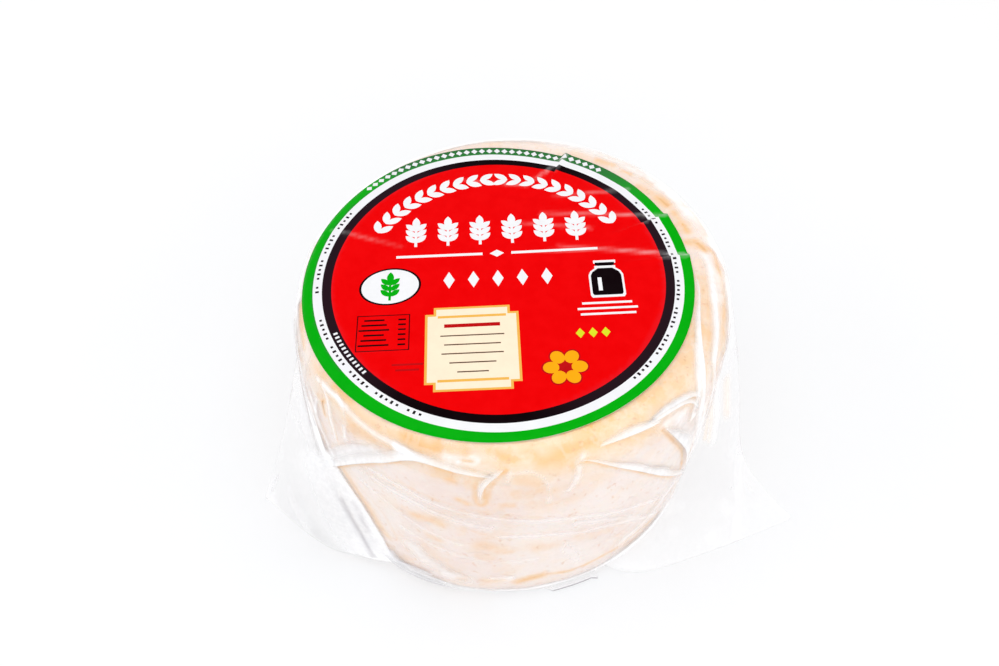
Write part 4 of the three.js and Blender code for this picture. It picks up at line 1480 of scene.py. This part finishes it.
# %% Flower and ruled box
FLOWER_AT = (24.0, -48.5)
for colour, radius in (("maroon", 3.3), ("orange", 2.7)):
    for azimuth in range(0, 360, 60):
        stamp(colour, round_outline(radius, 20, 1.15), polar(5.4, azimuth) + FLOWER_AT, azimuth)
stamp("maroon", round_outline(2.4, 24), FLOWER_AT)
for x in (31.0, 36.0, 41.0):
    stamp("leaf", diamond(3.6, 5.0), (x, -32.5))

BOX_X, BOX_Y = -46.0, -28.0
stamp("black", bar(21.0, 18.0), (BOX_X, BOX_Y))
stamp("red", bar(20.2, 17.2), (BOX_X, BOX_Y))
for k in range(6):
    y = BOX_Y + 6.4 - 2.5 * k
    stamp("black", bar(8.0 + 2.0 * (k % 3), 0.8), (BOX_X - 3.6, y))
    stamp("black", bar(3.0, 0.8), (BOX_X + 7.4, y))
for k, width in enumerate((12.0, 9.0)):
    stamp("maroon", bar(width, 0.9), (-36.0, -44.0 - 2.6 * k))
print(len(shapes), "printed shapes")

# %% Cutting the sheet
# Where the rim is tucked over itself: the azimuth, how far the rim steps in there, and over how many
# degrees it comes out again.
TUCKS = [(65.5, 2.1, 62.0), (22.5, 1.1, 80.0), (4.5, 0.6, 25.0)]
TIGHT_DRAW = 0.9  # the rim lies this much further in all along the tucked side
TUCK_BAND = 0.35  # half the width of the steep band at a tuck, in degrees
TUCK_FROM = 50.0  # radius at which a tuck starts
GRID = 1.9  # the distance between the extra points


def cut_sheet():
    """Points, triangles and an ink number for each triangle."""
    points, loops, edges = [], [], []
    for _, outline in shapes:
        start = len(points)
        points.extend(outline.tolist())
        loops.append(list(range(start, start + len(outline))))
    for azimuth, _, _ in TUCKS:
        for side in (-TUCK_BAND, TUCK_BAND):
            start = len(points)
            reach = np.linspace(TUCK_FROM, LABEL_RADIUS - 0.2, 22)
            points.extend([polar(r, azimuth + side).tolist() for r in reach])
            edges.extend((start + k, start + k + 1) for k in range(len(reach) - 1))
    for k, y in enumerate(np.arange(-LABEL_RADIUS, LABEL_RADIUS, GRID * 0.866)):
        for x in np.arange(-LABEL_RADIUS + (k % 2) * GRID / 2, LABEL_RADIUS, GRID):
            if math.hypot(x, y) < LABEL_RADIUS - 0.6:
                points.append([x, y])
    found = geometry.delaunay_2d_cdt([Vector(p) for p in points], edges, loops, 1, 1e-5)
    corners, faces, owners = found[0], found[2], found[5]
    inks = [ink_names.index(shapes[max(owner)][0]) if owner else 0 for owner in owners]
    return np.array([list(p) for p in corners]), [list(f) for f in faces], inks


sheet_plan, sheet_faces, sheet_inks = cut_sheet()
print("label sheet:", len(sheet_plan), "points,", len(sheet_faces), "triangles")

# %% [markdown]
# ### Bending the label
#
# The sheet is a little too wide for the flat of the cheese, so its rim bends down over the edge. At
# the back right it could not stretch, and was tucked in three places. At a tuck the rim steps
# inwards within half a millimetre, and a low ridge with one steep side runs in from it. Soft
# creases and a slight waviness do the rest.

# %% Label relief
SHEET_LIFT, SHEET_THICKNESS = 0.42, 0.14
RIDGE_WIDTH = 2.2
# From which radius the print gets a painted shade with a little painted sheen at the back, in the
# green ring, and a painted sheen at the sides, in the white and black rings, where it is only partly so.
BACK_SHADE_FROM, SIDE_SHEEN_FROM, SIDE_SHEEN = 75.0, 67.0, 0.5
# Creases: two ends in mm from the label's centre, half width, height.
CREASES = [
    ((34.0, 72.0), (14.0, 52.0), 2.2, 0.45),
    ((77.0, 30.0), (20.0, 34.0), 2.6, 0.40),
    ((79.0, 6.0), (26.0, 14.0), 2.4, 0.45),
    ((60.0, 48.0), (26.0, 44.0), 3.5, 0.30),
    ((14.0, 52.0), (-16.0, 58.0), 4.0, 0.25),
    ((-70.0, 30.0), (-40.0, 18.0), 4.0, 0.20),
    ((40.0, 24.0), (4.0, 30.0), 3.5, 0.22),
]


def tucked(plan):
    """The plan with its rim drawn in at the tucks, and the height of the ridges there."""
    radius = np.hypot(plan[:, 0], plan[:, 1])
    azimuth = np.degrees(np.arctan2(plan[:, 1], plan[:, 0]))
    pull = smooth((radius - TUCK_FROM) / (LABEL_RADIUS - TUCK_FROM))
    ridge = np.zeros(len(plan))
    draw = TIGHT_DRAW * pull * smooth((azimuth + 40) / 40) * (1 - smooth((azimuth - 75) / 50))
    for at, step, reach in TUCKS:
        past = (azimuth - at) % 360
        before = (at - azimuth) % 360
        draw += step * np.where(past < reach, 1 - smooth(past / reach), 0.0) * pull
        gap = np.radians(before) * radius
        ridge += 0.5 * pull**0.5 * np.where(before < 90, np.exp(-((gap / RIDGE_WIDTH) ** 2)), 0.0)
    return plan * (1 - draw / np.maximum(radius, 1.0))[:, None], ridge


def crease_lift(plan):
    """How far the creases lift the sheet, and the painted glint on the print along their crests."""
    lift, painted_glint = np.zeros(len(plan)), np.zeros(len(plan))
    for start, end, width, height in CREASES:
        start, end = np.array(start), np.array(end)
        way = end - start
        share = np.clip(((plan - start) @ way) / (way @ way), 0, 1)
        gap = np.linalg.norm(plan - start - share[:, None] * way, axis=1)
        fade = np.sqrt(1 - 0.9 * share)
        lift += height * np.exp(-((gap / width) ** 2)) * fade
        painted_glint = np.maximum(painted_glint, min(1.0, 1.6 * height) * np.exp(-((gap / 0.8) ** 2)) * fade)
    return lift, painted_glint


def rim_sheen_and_shade(plan):
    """How much painted sheen and shade the print gets near the rim: at the back and at the sides."""
    azimuth = np.degrees(np.arctan2(plan[:, 1], plan[:, 0]))
    radius = np.hypot(plan[:, 0], plan[:, 1])
    back = smooth((azimuth - 25) / 30) * (1 - smooth((azimuth - 120) / 18))
    sides = smooth((np.abs(np.cos(np.radians(azimuth + 10))) - 0.3) / 0.4)
    sides = SIDE_SHEEN * sides * (radius < GREEN_INNER)
    return np.maximum(back * smooth(radius - BACK_SHADE_FROM), sides * smooth(radius - SIDE_SHEEN_FROM))


# %% Label mesh
plan, ridge = tucked(sheet_plan)
spot = plan + LABEL_CENTRE
flat = np.column_stack((sheet_plan, np.zeros(len(sheet_plan))))
wave = 0.12 * (1 + rough(flat, 24.0, 41)) + 0.04 * (1 + rough(flat, 8.0, 42))
crease, painted_glint = crease_lift(sheet_plan)
# The painted glint lies along the crease crests and along the ridges at the tucks.
painted_glint = np.clip(0.55 * painted_glint + 0.5 * ridge * smooth((ridge - 0.35) / 0.1), 0, 0.6)
sheen_and_shade = rim_sheen_and_shade(sheet_plan)
height = top_surface(spot[:, 0], spot[:, 1]) + SHEET_LIFT + ridge + crease + wave
upper = np.column_stack((spot, height))
under = upper - (0, 0, SHEET_THICKNESS)

# The rim is the loop of edges that belong to one triangle only.
edges = dict.fromkeys((a, b) for face in sheet_faces for a, b in zip(face, face[1:] + face[:1]))
rim = [(a, b) for a, b in edges if (b, a) not in edges]
count = len(upper)
sheet_all = (
    sheet_faces
    + [[v + count for v in reversed(face)] for face in sheet_faces]
    + [[b, a, a + count, b + count] for a, b in rim]
)
paper = ink_names.index("white")
label = new_piece(
    "label_sheet", np.vstack((upper, under)), sheet_all, ink_materials,
    {"painted_glint": np.concatenate((painted_glint, painted_glint)), "sheen_and_shade": np.concatenate((sheen_and_shade, sheen_and_shade))},
    material_index=sheet_inks + [paper] * (len(sheet_faces) + len(rim)),
)
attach(label, "root")
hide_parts("round_label")
